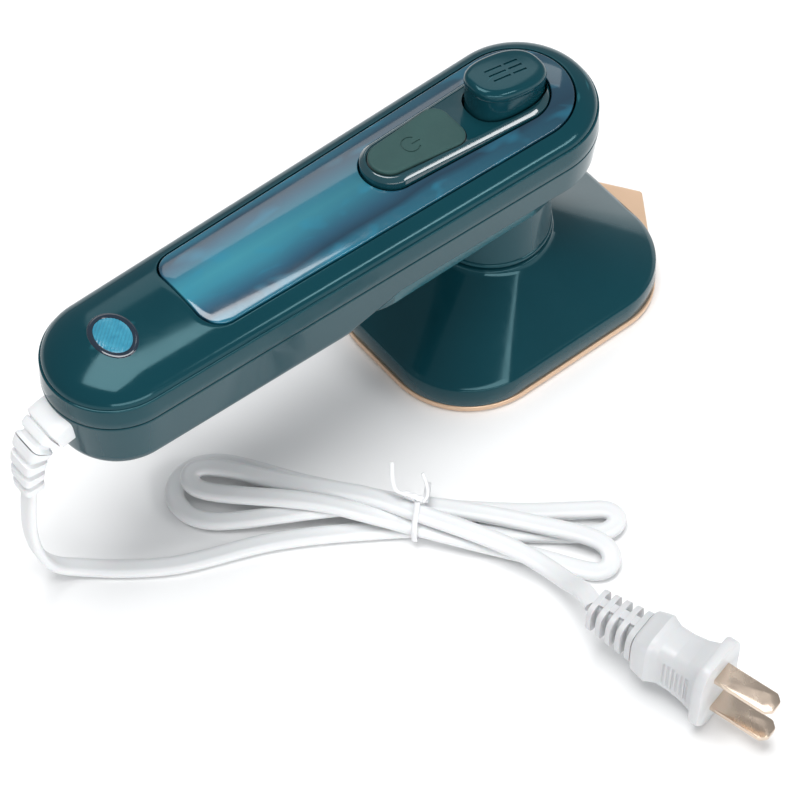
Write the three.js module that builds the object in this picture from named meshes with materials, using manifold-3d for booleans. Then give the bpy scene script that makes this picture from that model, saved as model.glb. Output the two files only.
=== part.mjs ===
// Handheld travel steam iron: a hull-shaped handle with a water tank, and a swivelling soleplate head.
// Millimetres. +X points to the front, +Y to the left, +Z up.
// The origin is on the swivel axis, on the bottom face of the soleplate.
import * as THREE from 'three';
import { mergeVertices } from 'three/addons/utils/BufferGeometryUtils.js';
import Module from 'manifold-3d';

const wasm = await Module();
wasm.setup();

// ---- Clearances and walls ----
const GAP = 0.3; // between pieces that touch, fit or slide
const WALL = 2.0; // moulded shells
const THIN_WALL = 1.6; // tank, button cap and control panel
const ARC_STEPS = 6; // facets in a quarter circle

// ---- Handle: a hull with round ends, wider at the front ----
const HANDLE_REAR_R = 17.9;
const HANDLE_FRONT_R = 20.8;
const HANDLE_REAR_CENTRE_X = -119.0;
const HANDLE_FRONT_CENTRE_X = 8.4;
const SEAM_Z = 67.1; // joint line between the two shells
const LEDGE_Z = 73.7; // crisp edge where the dome starts
const DOME_RISE = 6.5;
const SEAM_FLARE = 0.3; // how far the seam stands outside the ledge
const BELLY_REAR_DEPTH = 18.6; // below the seam, behind the head
const BELLY_FRONT_DEPTH = 11.5; // below the seam, over the head
const BELLY_STEP_REAR_X = -61.0;
const BELLY_STEP_FRONT_X = -43.0;
const KEEL_R = 16.9; // the round-ended keel that hangs from the belly over the head
const KEEL_REAR_X = -62.0;
const KEEL_BOTTOM_Z = 50.2;

// ---- Water tank and its translucent skin ----
const TANK_REAR_X = -98.8;
const TANK_MARGIN = 5.0; // from the handle's outline to the tank's
const TANK_TIP_MARGIN = 1.6; // added at the front end
const TANK_CORNER_R = 6.5;
const TANK_BOTTOM_Z = 62.5;
const TANK_FRONT_WALL_X = -46.0;
const SKIN_THICKNESS = 2.2;
const NIPPLE_R = 2.0;
const NIPPLE_LENGTH = 3.0;
const FILLER_R = 4.0; // bore of the filler neck that reaches down through the lower shell
const FILLER_X = -80.0;
const FILLER_RECESS = 2.2; // from the shell's underside up to the neck's mouth
const STOPPER_HEAD_R = 7.0;
const STOPPER_STEM_LENGTH = 5.0;

// ---- Control panel, power pad and steam button ----
const PANEL_REAR_R = 7.6;
const PANEL_FRONT_R = 10.0;
const PANEL_REAR_CENTRE_X = -33.8;
const PANEL_FRONT_CENTRE_X = 5.6;
const PANEL_RISE = 2.6; // of its rear top edge above the dome's crest
const PANEL_FALL = 1.9; // how much lower the front end is
const PANEL_CHAMFER = 0.9;
const PANEL_SKIRT = 4.4; // how far the sides reach below the dome's crest
const PAD_REAR_X = -39.4;
const PAD_FRONT_X = -12.9;
const PAD_REAR_HALF = 5.2;
const PAD_FRONT_HALF = 7.0;
const PAD_FRONT_CORNER_R = 4.0;
const PAD_STAND = 0.7; // above the panel
const PAD_TRAVEL = 0.6;
const BUTTON_X = 3.6;
const BUTTON_HALF_LENGTH = 11.4;
const BUTTON_HALF_WIDTH = 7.4;
const BUTTON_HEIGHT = 8.4; // of the cap's middle above the panel
const BUTTON_TILT = 13.0; // degrees, top face down to the front
const BUTTON_TRAVEL = 3.0;

// ---- Pump under the button ----
const PUMP_R = 6.5;
const PUMP_BORE_R = 4.8;
const PUMP_BOTTOM_Z = 67.0;
const PUMP_TOP_Z = 75.4;
const PISTON_R = 4.5;
const PISTON_HEIGHT = 2.4;
const PLUNGER_R = 2.0;
const SPRING_WIRE_R = 0.4;
const SPRING_COIL_R = 3.3;
const SPRING_TURNS = 3;

// ---- Swivel neck ----
const NECK_R = 16.4;
const NECK_BOTTOM_Z = 33.1;
const SPIGOT_R = 12.8;
const SPIGOT_TOP_Z = 58.4;
const STEM_R = 9.0;
const STEM_BORE_R = 6.0;
const STEM_TOP_Z = 63.2;
const STEM_FLANGE_R = 13.0;
const STEM_FLANGE_HEIGHT = 2.2;
const BEARING_HEIGHT = 3.0;
const CLIP_OUTER_R = 12.0;
const CLIP_GROOVE_R = 7.6;
const CLIP_HEIGHT = 0.9;
const WASHER_HEIGHT = 0.6;

// ---- Head ----
const SOLE_REAR_X = -38.2;
const SOLE_TIP_X = 56.9;
const SOLE_HALF_WIDTH = 32.6;
const SOLE_THICKNESS = 2.3;
const SOLE_REAR_CORNER_R = 24.5;
const SOLE_SHOULDER_R = 20.0;
const NOSE_SLOPE = 0.69; // how far the nose edge runs back for each millimetre outwards
const COVER_INSET = 0.4; // inside the sole's outline at the rear and sides
const COVER_FRONT_X = 46.0;
const COVER_CORNER_R = 23.0;
const COVER_RIM_HEIGHT = 6.6;
const COVER_RIM_DRAFT = 0.5;
const COVER_TOP_Z = 32.6;
const COVER_TOP_R = 17.2;
const BLOCK_INSET = 6.0;
const BLOCK_HEIGHT = 6.4;
const LID_MARGIN = 1.2; // between the lid and the heating element
const CHAMBER_RIM = 2.0; // the seat round the chamber that the lid lies on
const CHAMBER_DEPTH = 3.6;
const LID_THICKNESS = 1.5;
const INLET_R = 3.0;
const INLET_TOP_Z = 24.5;
const ELEMENT_R = 2.6;
const ELEMENT_REAR_X = -27.0;
const ELEMENT_FRONT_X = 27.5;
const ELEMENT_HALF_WIDTH = 21.0;
const ELEMENT_NOSE_R = 19.0;
const SHIELD_Z = 19.0;
const SHIELD_THICKNESS = 1.4;
const SHIELD_CLEARANCE = 1.5; // inside the cover's wall
const SHIELD_LEG_R = 1.5;
const SHIELD_LEG_PLACES = [[17, 10], [17, -10], [-15, 10], [-15, -10]];
const STEAM_HOLE_R = 1.25;
const THERMOSTAT_R = 5.5;
const THERMOSTAT_HEIGHT = 4.0;
const FUSE_R = 1.8;
const FUSE_LENGTH = 12.0;

// ---- Screws ----
const SCREW_HEAD_R = 2.4;
const SCREW_HEAD_HEIGHT = 1.5;
const SCREW_SHANK_R = 1.2;
const BOSS_R = 3.2;
const HANDLE_SCREW_X = -107.5;
const HANDLE_SCREW_Y = 8.5;
const HEAD_SCREW_PLACES = [[-28, 0], [36, 9], [36, -9]];

// ---- Indicator and electronics ----
const LENS_X = -118.4;
const LENS_HALF_LENGTH = 5.4;
const LENS_HALF_WIDTH = 7.1;
const LENS_RIM = 1.3;
const LENS_DEPTH = 3.0;
const BOARD_THICKNESS = 1.6;
const LED_R = 2.4;
const WIRE_R = 0.9;
const WIRE_SPREAD = 4.2; // each side of the swivel axis, inside the stem

// ---- Mains cord ----
const CORD_R = 1.8;
const CORD_SIDES = 8;
const RELIEF_HALF_WIDTH = 5.9;
const RELIEF_END_HALF = 2.9;
// The relief's path: x back from the handle's rear end, and z.
const RELIEF_RUN = [[-1.3, 61.6], [-4.5, 60.6], [-7.5, 57.6], [-9.1, 53.2], [-10.1, 43.4]];
const HANK_LEFT = [-96.5, -7.0];
const HANK_RIGHT = [-35.0, -77.0];
const HANK_LEFT_HALF = 12.0;
const HANK_RIGHT_HALF = 14.0;
const HANK_BOTTOM_Z = 0.9;
const HANK_TOP_Z = 8.2;
const TIE_WIDTH = 2.2;
const TIE_THICKNESS = 0.6;
const TIE_PLACE = 0.56; // along the hank from its left end
const LEAD_POINTS = [
  [-147.0, 0, 43.0], [-148.0, 0, 35.0], [-148.9, 0.1, 26.0], [-148.4, 0.1, 17.5], [-146.6, -0.2, 10.0],
  [-143.4, -1.4, 4.6], [-138.8, -3.6, 2.3], [-133.6, -7.8, 1.95], [-127.0, -13.0, 1.95],
  [-119.0, -18.2, 1.95], [-109.4, -22.3, 1.95], [-102.4, -25.0, 1.95],
];
const PLUG_POINTS = [
  [-46.5, -89.5, 8.4], [-46.9, -92.6, 10.9], [-47.5, -95.6, 12.6], [-48.6, -100.1, 13.5],
];

// ---- Plug, standing on the long edge of its flange ----
const PLUG_FLANGE_X = -40.1;
const PLUG_FLANGE_Y = -136.9;
const PLUG_TURN = -76.2; // degrees, the way the blades point
const FLANGE_HALF_WIDTH = 9.0;
const FLANGE_HALF_HEIGHT = 13.5;
const FLANGE_THICKNESS = 3.2;
const PLUG_BODY_LENGTH = 19.5;
const PLUG_NOSE_HALF_WIDTH = 6.2;
const PLUG_NOSE_HALF_HEIGHT = 8.6;
const PLUG_RELIEF_LENGTH = 14.0;
const PLUG_RELIEF_HALF = 5.4;
const PLUG_RELIEF_END_HALF = 4.4;
const BLADE_SPACING = 12.7;
const BLADE_WIDTH = 6.35;
const BLADE_THICKNESS = 1.5;
const BLADE_LENGTH = 16.6;
const BLADE_HOLE_R = 1.6;
const BLADE_HOLE_BACK = 4.4; // from the tip

// ---- Finishes ----
const finish = (color, roughness, metalness) =>
  new THREE.MeshStandardMaterial({ color, roughness, metalness });
const tealGloss = finish(0x1d555c, 0.12, 0);
const tealMatte = finish(0x3c6e69, 0.6, 0);
const tankBlue = finish(0x3f8ea8, 0.08, 0);
const cyanLens = finish(0x5ac8e1, 0.2, 0);
const roseGold = finish(0xdeb896, 0.35, 0.6);
const castMetal = finish(0xb4b6b8, 0.5, 0.9);
const steel = finish(0xc8c8ca, 0.3, 1);
const whitePvc = finish(0xececeb, 0.45, 0);
const rubber = finish(0x2a2c2e, 0.8, 0);
const boardGreen = finish(0x2f6b45, 0.6, 0);
const phenolic = finish(0x4a3a2c, 0.7, 0);
const nylon = finish(0xe4e0d4, 0.5, 0);
const wireRed = finish(0xa03a30, 0.5, 0);
const wireBlue = finish(0x355f9a, 0.5, 0);

// ---- Solids ----
const SAME_POINT = 1e-4;

// A closed mesh as a manifold-3d solid: only positions count, shared vertices are merged, slivers dropped.
function solid(geometry) {
  const bare = new THREE.BufferGeometry();
  bare.setAttribute('position', geometry.getAttribute('position').clone());
  bare.setIndex(geometry.index ? geometry.index.clone() : null);
  const merged = mergeVertices(bare, SAME_POINT);
  const index = Array.from(merged.index.array);
  const kept = [];
  for (let i = 0; i < index.length; i += 3) {
    const [a, b, c] = index.slice(i, i + 3);
    if (a !== b && b !== c && c !== a) {
      kept.push(a, b, c);
    }
  }
  const vertProperties = new Float32Array(merged.getAttribute('position').array);
  return new wasm.Manifold(new wasm.Mesh({ numProp: 3, vertProperties, triVerts: new Uint32Array(kept) }));
}

function geometryOf(shape) {
  const mesh = shape.getMesh();
  const positions = new Float32Array((mesh.vertProperties.length / mesh.numProp) * 3);
  for (let i = 0; i < positions.length / 3; i += 1) {
    for (let axis = 0; axis < 3; axis += 1) {
      positions[3 * i + axis] = mesh.vertProperties[mesh.numProp * i + axis];
    }
  }
  const geometry = new THREE.BufferGeometry();
  geometry.setAttribute('position', new THREE.BufferAttribute(positions, 3));
  geometry.setIndex(Array.from(mesh.triVerts));
  geometry.computeVertexNormals();
  return geometry;
}

function cylinder(radius, bottom, top, x = 0, y = 0, sides = 24) {
  const geometry = new THREE.CylinderGeometry(radius, radius, top - bottom, sides);
  geometry.rotateX(Math.PI / 2);
  geometry.translate(x, y, (bottom + top) / 2);
  return solid(geometry);
}

function box(low, high) {
  const size = high.map((value, axis) => value - low[axis]);
  const geometry = new THREE.BoxGeometry(...size);
  geometry.translate(...low.map((value, axis) => value + size[axis] / 2));
  return solid(geometry);
}

function tube(inner, outer, bottom, top, x = 0, y = 0, sides = 32) {
  const bore = cylinder(inner, bottom - 1, top + 1, x, y, sides);
  return cylinder(outer, bottom, top, x, y, sides).subtract(bore);
}

function rod(points, radius, sides = CORD_SIDES, steps = 40) {
  const places = points.map((point) => new THREE.Vector3(...point));
  const path = new THREE.CatmullRomCurve3(places, false, 'centripetal');
  const section = new THREE.Shape();
  for (let i = 0; i < sides; i += 1) {
    const angle = (2 * Math.PI * i) / sides;
    const place = [radius * Math.cos(angle), radius * Math.sin(angle)];
    if (i === 0) {
      section.moveTo(...place);
    } else {
      section.lineTo(...place);
    }
  }
  section.closePath();
  return new THREE.ExtrudeGeometry(section, { steps, bevelEnabled: false, extrudePath: path });
}

// The y <= 0 half of an outline from (x0, 0) to (x1, 0) that tapers to the front, with rounded corners.
function taperSide(x0, x1, half0, half1, corner0, corner1, stations = 6) {
  const r0 = Math.min(corner0, half0);
  const r1 = Math.min(corner1, half1);
  const side = [[x0, 0]];
  for (let i = 0; i <= ARC_STEPS; i += 1) {
    const angle = Math.PI + (Math.PI / 2) * (i / ARC_STEPS);
    side.push([x0 + r0 + r0 * Math.cos(angle), -(half0 - r0) + r0 * Math.sin(angle)]);
  }
  for (let i = 1; i < stations; i += 1) {
    const along = i / stations;
    side.push([(x0 + r0) * (1 - along) + (x1 - r1) * along, -(half0 * (1 - along) + half1 * along)]);
  }
  for (let i = 0; i <= ARC_STEPS; i += 1) {
    const angle = -Math.PI / 2 + (Math.PI / 2) * (i / ARC_STEPS);
    side.push([x1 - r1 + r1 * Math.cos(angle), -(half1 - r1) + r1 * Math.sin(angle)]);
  }
  side.push([x1, 0]);
  return side;
}

const atHeight = (side, z) => side.map(([x, y]) => [x, y, typeof z === 'function' ? z(x) : z]);

// A closed solid through mirrored rings, lowest first. Each ring is given by its y <= 0 half.
function loft(halves) {
  const half = halves[0].length;
  const count = 2 * half - 2;
  const positions = [];
  for (const side of halves) {
    for (const point of side) {
      positions.push(...point);
    }
    for (let i = half - 2; i > 0; i -= 1) {
      positions.push(side[i][0], -side[i][1], side[i][2]);
    }
  }
  const index = [];
  for (let ring = 0; ring + 1 < halves.length; ring += 1) {
    for (let i = 0; i < count; i += 1) {
      const a = ring * count + i;
      const b = ring * count + ((i + 1) % count);
      index.push(a, b, b + count, a, b + count, a + count);
    }
  }
  const top = (halves.length - 1) * count;
  for (let i = 0; i + 1 < half; i += 1) {
    const mirror = (count - i) % count;
    const nextMirror = count - i - 1;
    index.push(top + i, top + i + 1, top + nextMirror, top + i, top + nextMirror, top + mirror);
    index.push(i, nextMirror, i + 1, i, mirror, nextMirror);
  }
  const geometry = new THREE.BufferGeometry();
  geometry.setAttribute('position', new THREE.Float32BufferAttribute(positions, 3));
  geometry.setIndex(index);
  return solid(geometry);
}

const prism = (side, bottom, top) => loft([atHeight(side, bottom), atHeight(side, top)]);

// An upright oval column.
function oval(halfLength, halfWidth, bottom, top, x) {
  const side = [];
  const steps = 2 * ARC_STEPS;
  for (let i = 0; i <= steps; i += 1) {
    const angle = Math.PI + (Math.PI * i) / steps;
    side.push([x + halfLength * Math.cos(angle), i % steps === 0 ? 0 : halfWidth * Math.sin(angle)]);
  }
  return prism(side, bottom, top);
}

const iron = new THREE.Group();
const handle = new THREE.Group();
const head = new THREE.Group();
const lead = new THREE.Group();
iron.add(handle, head, lead);

function put(group, name, shape, material) {
  const geometry = shape.isBufferGeometry ? shape : geometryOf(shape);
  const mesh = new THREE.Mesh(geometry, material);
  mesh.name = name;
  group.add(mesh);
  return mesh;
}

// ---- Handle outline ----
const HANDLE_REAR_X = HANDLE_REAR_CENTRE_X - HANDLE_REAR_R;
const HANDLE_FRONT_X = HANDLE_FRONT_CENTRE_X + HANDLE_FRONT_R;
const CREST_Z = LEDGE_Z + DOME_RISE;
const UNDERSIDE_Z = SEAM_Z - BELLY_REAR_DEPTH;
const RELIEF_PATH = RELIEF_RUN.map(([x, z]) => [HANDLE_REAR_X + x, z]);
const FILLER_MOUTH_Z = UNDERSIDE_Z + FILLER_RECESS;

function handleSide(inset) {
  const rear = HANDLE_REAR_R - inset;
  const front = HANDLE_FRONT_R - inset;
  return taperSide(HANDLE_REAR_X + inset, HANDLE_FRONT_X - inset, rear, front, rear, front, 10);
}

function handleHalfWidth(x) {
  const along = (x - HANDLE_REAR_CENTRE_X) / (HANDLE_FRONT_CENTRE_X - HANDLE_REAR_CENTRE_X);
  return HANDLE_REAR_R + (HANDLE_FRONT_R - HANDLE_REAR_R) * along;
}

// The dome above the ledge: the outline shrinks towards the spine as an ellipse rises.
function domeSolid(inset, bottom, drop) {
  const halves = [
    atHeight(handleSide(inset - SEAM_FLARE), bottom),
    atHeight(handleSide(inset), LEDGE_Z - drop),
  ];
  for (const angle of [18, 36, 54, 70, 84]) {
    const shrink = Math.cos(THREE.MathUtils.degToRad(angle));
    const rise = Math.sin(THREE.MathUtils.degToRad(angle)) * DOME_RISE;
    const rear = (HANDLE_REAR_R - inset) * shrink;
    const front = (HANDLE_FRONT_R - inset) * shrink;
    const rearX = HANDLE_REAR_CENTRE_X - rear;
    const side = taperSide(rearX, HANDLE_FRONT_CENTRE_X + front, rear, front, rear, front, 10);
    halves.push(atHeight(side, LEDGE_Z - drop + rise));
  }
  return loft(halves);
}

// The hull below the seam: deep behind the head, shallow over it.
function bellyDepth(x) {
  const along = THREE.MathUtils.smoothstep(x, BELLY_STEP_REAR_X, BELLY_STEP_FRONT_X);
  return BELLY_REAR_DEPTH + (BELLY_FRONT_DEPTH - BELLY_REAR_DEPTH) * along;
}

const HULL_PROFILE = [[8.5, 1], [5.5, 0.965], [3.2, 0.87], [1.7, 0.66], [0.7, 0.35], [0, 0]];

function hullSolid(inset, top, lift) {
  const halves = HULL_PROFILE.map(([pull, depth]) => {
    const height = (x) => (depth === 0 ? top : SEAM_Z + lift * depth - bellyDepth(x) * depth);
    return atHeight(handleSide(inset - SEAM_FLARE + pull), height);
  });
  return loft(halves);
}

// ---- Tank outline ----
const tankHalf = (x, inset) => handleHalfWidth(x) - TANK_MARGIN - inset;
const TANK_FRONT_X = HANDLE_FRONT_X - TANK_MARGIN - TANK_TIP_MARGIN;

function tankSide(inset) {
  const front = tankHalf(HANDLE_FRONT_CENTRE_X, inset);
  const rear = tankHalf(TANK_REAR_X, inset);
  return taperSide(TANK_REAR_X + inset, TANK_FRONT_X - inset, rear, front, TANK_CORNER_R - inset, front, 8);
}

// ---- Upper shell ----
const lensHole = oval(LENS_HALF_LENGTH + GAP, LENS_HALF_WIDTH + GAP, LEDGE_Z - WALL, CREST_Z + 5, LENS_X);
let upperShell = domeSolid(0, SEAM_Z + GAP / 2, 0)
  .subtract(domeSolid(WALL, SEAM_Z - WALL, WALL))
  .subtract(prism(tankSide(0), SEAM_Z - WALL, CREST_Z + WALL))
  .subtract(lensHole);
const roof = domeSolid(WALL / 2, SEAM_Z - WALL, WALL / 2);
for (const y of [HANDLE_SCREW_Y, -HANDLE_SCREW_Y]) {
  const boss = cylinder(BOSS_R, SEAM_Z + GAP / 2, CREST_Z, HANDLE_SCREW_X, y, 16).intersect(roof);
  const pilot = cylinder(SCREW_SHANK_R + GAP, SEAM_Z - WALL, SEAM_Z + 5, HANDLE_SCREW_X, y, 12);
  upperShell = upperShell.add(boss).subtract(pilot);
}
put(handle, 'handle_upper_shell', upperShell, tealGloss);

// ---- Lower shell: the hull, with the keel under its front half ----
const keelSide = (inset) => {
  const r = KEEL_R - inset;
  return taperSide(KEEL_REAR_X + inset, KEEL_R - inset, r, r, r, r, 2);
};
const hullInner = hullSolid(WALL, SEAM_Z + WALL, WALL);
const keelOuter = prism(keelSide(0), KEEL_BOTTOM_Z, SEAM_Z - BELLY_FRONT_DEPTH + WALL / 2);
const keelInner = prism(keelSide(WALL), KEEL_BOTTOM_Z + WALL, SEAM_Z);
let lowerShell = hullSolid(0, SEAM_Z - GAP / 2, 0).add(keelOuter).subtract(hullInner).subtract(keelInner);
const hullCore = hullSolid(WALL / 2, SEAM_Z - GAP / 2, WALL / 2);
const SCREW_SEAT_Z = SEAM_Z - BELLY_REAR_DEPTH + 3.4;
for (const y of [HANDLE_SCREW_Y, -HANDLE_SCREW_Y]) {
  const boss = cylinder(BOSS_R, 0, SEAM_Z - GAP / 2, HANDLE_SCREW_X, y, 16).intersect(hullCore);
  const shaft = cylinder(SCREW_SHANK_R + GAP, 0, CREST_Z, HANDLE_SCREW_X, y, 12);
  const sink = cylinder(SCREW_HEAD_R + GAP, 0, SCREW_SEAT_Z, HANDLE_SCREW_X, y, 16);
  lowerShell = lowerShell.add(boss).subtract(shaft).subtract(sink);
}
const reliefSlot = box(
  [HANDLE_REAR_X - 5, -RELIEF_HALF_WIDTH - GAP, RELIEF_PATH[0][1] - 4 - GAP],
  [HANDLE_REAR_X + 12, RELIEF_HALF_WIDTH + GAP, RELIEF_PATH[0][1] + 4 + GAP],
);
lowerShell = lowerShell
  .subtract(reliefSlot)
  .subtract(cylinder(STOPPER_HEAD_R + GAP, 0, UNDERSIDE_Z + WALL + 1, FILLER_X, 0, 24))
  .subtract(cylinder(SPIGOT_R + GAP, 0, SEAM_Z, 0, 0, 32));
put(handle, 'handle_lower_shell', lowerShell, tealGloss);

// ---- Tank ----
const behindWall = box([-200, -50, TANK_BOTTOM_Z], [TANK_FRONT_WALL_X, 50, 200]);
const aheadOfWall = box([TANK_FRONT_WALL_X - 1, -50, 0], [200, 50, 200]);
const tankPrism = prism(tankSide(GAP), 0, 200);
const domeFull = domeSolid(0, 40, 0);
const tankBox = domeFull.intersect(tankPrism).intersect(behindWall);
const skin = domeFull.subtract(domeSolid(0, 39, SKIN_THICKNESS)).intersect(tankPrism).intersect(aheadOfWall);
const cavity = domeSolid(0, 39, THIN_WALL)
  .intersect(prism(tankSide(GAP + THIN_WALL), TANK_BOTTOM_Z + THIN_WALL, 200))
  .intersect(box([-200, -50, 0], [TANK_FRONT_WALL_X - THIN_WALL, 50, 200]));
const NIPPLE_X = TANK_FRONT_WALL_X - 12;
const panelSide = (inset) => {
  const rear = PANEL_REAR_R - inset;
  const front = PANEL_FRONT_R - inset;
  return taperSide(PANEL_REAR_CENTRE_X - rear, PANEL_FRONT_CENTRE_X + front, rear, front, rear, front, 4);
};
const tank = tankBox
  .add(skin)
  .subtract(cavity)
  .add(cylinder(NIPPLE_R, TANK_BOTTOM_Z - NIPPLE_LENGTH, TANK_BOTTOM_Z + 1, NIPPLE_X, 0, 12))
  .subtract(cylinder(NIPPLE_R / 2, 0, TANK_BOTTOM_Z + 4, NIPPLE_X, 0, 8))
  .add(cylinder(FILLER_R + THIN_WALL, FILLER_MOUTH_Z, TANK_BOTTOM_Z + 1, FILLER_X, 0, 20))
  .subtract(cylinder(FILLER_R, 0, TANK_BOTTOM_Z + 4, FILLER_X, 0, 16))
  .subtract(prism(panelSide(-GAP), CREST_Z - 12, CREST_Z + 5));
put(handle, 'water_tank', tank, tankBlue);

const stopperTopZ = FILLER_MOUTH_Z + STOPPER_STEM_LENGTH;
const stopper = cylinder(FILLER_R - GAP, FILLER_MOUTH_Z - 1, stopperTopZ, FILLER_X, 0, 16).add(
  cylinder(STOPPER_HEAD_R, UNDERSIDE_Z, FILLER_MOUTH_Z - GAP, FILLER_X, 0, 24),
);
put(handle, 'tank_stopper', stopper, rubber);

// ---- Control panel ----
const panelTop = (x) => {
  const along = (x - PANEL_REAR_CENTRE_X) / (PANEL_FRONT_CENTRE_X - PANEL_REAR_CENTRE_X);
  return CREST_Z + PANEL_RISE - PANEL_FALL * along;
};
const padSide = (inset) =>
  taperSide(
    PAD_REAR_X + inset,
    PAD_FRONT_X - inset,
    PAD_REAR_HALF - inset,
    PAD_FRONT_HALF - inset,
    PAD_REAR_HALF - inset,
    PAD_FRONT_CORNER_R - inset,
    4,
  );
const buttonHole = oval(BUTTON_HALF_LENGTH + GAP, BUTTON_HALF_WIDTH + GAP, 60, 100, BUTTON_X);
const panel = loft([
  atHeight(panelSide(0), CREST_Z - PANEL_SKIRT),
  atHeight(panelSide(0), (x) => panelTop(x) - PANEL_CHAMFER),
  atHeight(panelSide(PANEL_CHAMFER), panelTop),
])
  .subtract(
    loft([
      atHeight(panelSide(THIN_WALL), CREST_Z - PANEL_SKIRT - 1),
      atHeight(panelSide(THIN_WALL), (x) => panelTop(x) - THIN_WALL),
    ]),
  )
  .subtract(prism(padSide(-GAP), CREST_Z - 1, CREST_Z + 8))
  .subtract(buttonHole);
put(handle, 'control_panel', panel, tealGloss);

// ---- Power pad, pressed straight down onto its switch ----
const PAD_X = (PAD_REAR_X + PAD_FRONT_X) / 2;
const SWITCH_HALF = 3.0;
const SWITCH_HEIGHT = 3.4;
const padBottom = (x) => panelTop(x) - THIN_WALL;
const SWITCH_TOP_Z = CREST_Z - 2.6;
const padTop = (x) => panelTop(x) + PAD_STAND;
const powerPad = loft([atHeight(padSide(0), padBottom), atHeight(padSide(0), padTop)]).add(
  cylinder(PLUNGER_R, SWITCH_TOP_Z + PAD_TRAVEL + GAP, padBottom(PAD_X) + 0.5, PAD_X, 0, 12),
);
put(handle, 'power_pad', powerPad, tealMatte);
const switchBottom = SWITCH_TOP_Z - SWITCH_HEIGHT;
const tactSwitch = box(
  [PAD_X - SWITCH_HALF, -SWITCH_HALF, switchBottom],
  [PAD_X + SWITCH_HALF, SWITCH_HALF, SWITCH_TOP_Z],
);
put(handle, 'power_switch', tactSwitch, steel);
const boardTop = switchBottom - GAP;
const BOARD_HALF_LENGTH = 10.5;
const BOARD_HALF_WIDTH = 6.6;
const boardSide = taperSide(
  PAD_X - BOARD_HALF_LENGTH,
  PAD_X + BOARD_HALF_LENGTH,
  BOARD_HALF_WIDTH,
  BOARD_HALF_WIDTH,
  1.5,
  1.5,
  2,
);
put(handle, 'control_board', prism(boardSide, boardTop - BOARD_THICKNESS, boardTop), boardGreen);

// ---- Steam button and the pump under it ----
const buttonTopZ = panelTop(BUTTON_X) + BUTTON_HEIGHT;
const buttonSkirtZ = PUMP_TOP_Z + BUTTON_TRAVEL + GAP;
const tiltRun = Math.tan(THREE.MathUtils.degToRad(BUTTON_TILT));
const ovalSide = (inset) => {
  const side = [];
  const steps = 2 * ARC_STEPS;
  for (let i = 0; i <= steps; i += 1) {
    const angle = Math.PI + (Math.PI * i) / steps;
    const across = i % steps === 0 ? 0 : (BUTTON_HALF_WIDTH - inset) * Math.sin(angle);
    side.push([BUTTON_X + (BUTTON_HALF_LENGTH - inset) * Math.cos(angle), across]);
  }
  return side;
};
const capHeight = (drop) => (x) => buttonTopZ - drop - (x - BUTTON_X) * tiltRun;
const buttonInside = loft([
  atHeight(ovalSide(THIN_WALL), buttonSkirtZ - 1),
  atHeight(ovalSide(THIN_WALL), capHeight(1.6 + THIN_WALL)),
]);
const buttonCap = loft([
  atHeight(ovalSide(0), buttonSkirtZ),
  atHeight(ovalSide(0), capHeight(1.6)),
  atHeight(ovalSide(0.6), capHeight(0.6)),
  atHeight(ovalSide(1.8), capHeight(0)),
])
  .subtract(buttonInside)
  .add(cylinder(PLUNGER_R + 1.2, PUMP_TOP_Z + BUTTON_TRAVEL + GAP, buttonTopZ - 2, BUTTON_X, 0, 16));
put(handle, 'steam_button', buttonCap, tealGloss);

const pistonBottom = PUMP_TOP_Z - PISTON_HEIGHT - GAP;
const piston = cylinder(PISTON_R, pistonBottom, pistonBottom + PISTON_HEIGHT, BUTTON_X, 0, 20).add(
  cylinder(PLUNGER_R, pistonBottom, PUMP_TOP_Z + BUTTON_TRAVEL, BUTTON_X, 0, 12),
);
put(handle, 'pump_piston', piston, nylon);

const PUMP_NOZZLE_Z = PUMP_BOTTOM_Z + 3;
const PUMP_NOZZLE_LENGTH = 3.0;
const nozzleX = BUTTON_X - PUMP_R - PUMP_NOZZLE_LENGTH;
const sideNozzle = (radius, reach) => {
  const geometry = new THREE.CylinderGeometry(radius, radius, reach, 12);
  geometry.rotateZ(Math.PI / 2);
  geometry.translate(nozzleX + reach / 2, 0, PUMP_NOZZLE_Z);
  return solid(geometry);
};
const pump = cylinder(PUMP_R, PUMP_BOTTOM_Z, PUMP_TOP_Z, BUTTON_X, 0, 24)
  .add(sideNozzle(1.9, PUMP_NOZZLE_LENGTH + 1))
  .subtract(cylinder(PUMP_BORE_R, PUMP_BOTTOM_Z + THIN_WALL, PUMP_TOP_Z + 1, BUTTON_X, 0, 24))
  .subtract(cylinder(0.9, PUMP_BOTTOM_Z - 1, PUMP_BOTTOM_Z + 3, 0, 0, 8));
put(handle, 'pump_body', pump, nylon);

const springLow = PUMP_BOTTOM_Z + THIN_WALL + GAP + SPRING_WIRE_R;
const springHigh = pistonBottom - GAP - SPRING_WIRE_R;
const SPRING_POINTS_A_TURN = 8;
const springPoints = [];
for (let i = 0; i <= SPRING_TURNS * SPRING_POINTS_A_TURN; i += 1) {
  const angle = (2 * Math.PI * i) / SPRING_POINTS_A_TURN;
  const along = i / (SPRING_TURNS * SPRING_POINTS_A_TURN);
  const place = [BUTTON_X + SPRING_COIL_R * Math.cos(angle), SPRING_COIL_R * Math.sin(angle)];
  springPoints.push([...place, springLow + (springHigh - springLow) * along]);
}
put(handle, 'button_spring', rod(springPoints, SPRING_WIRE_R, 6, springPoints.length + 8), steel);

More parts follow.
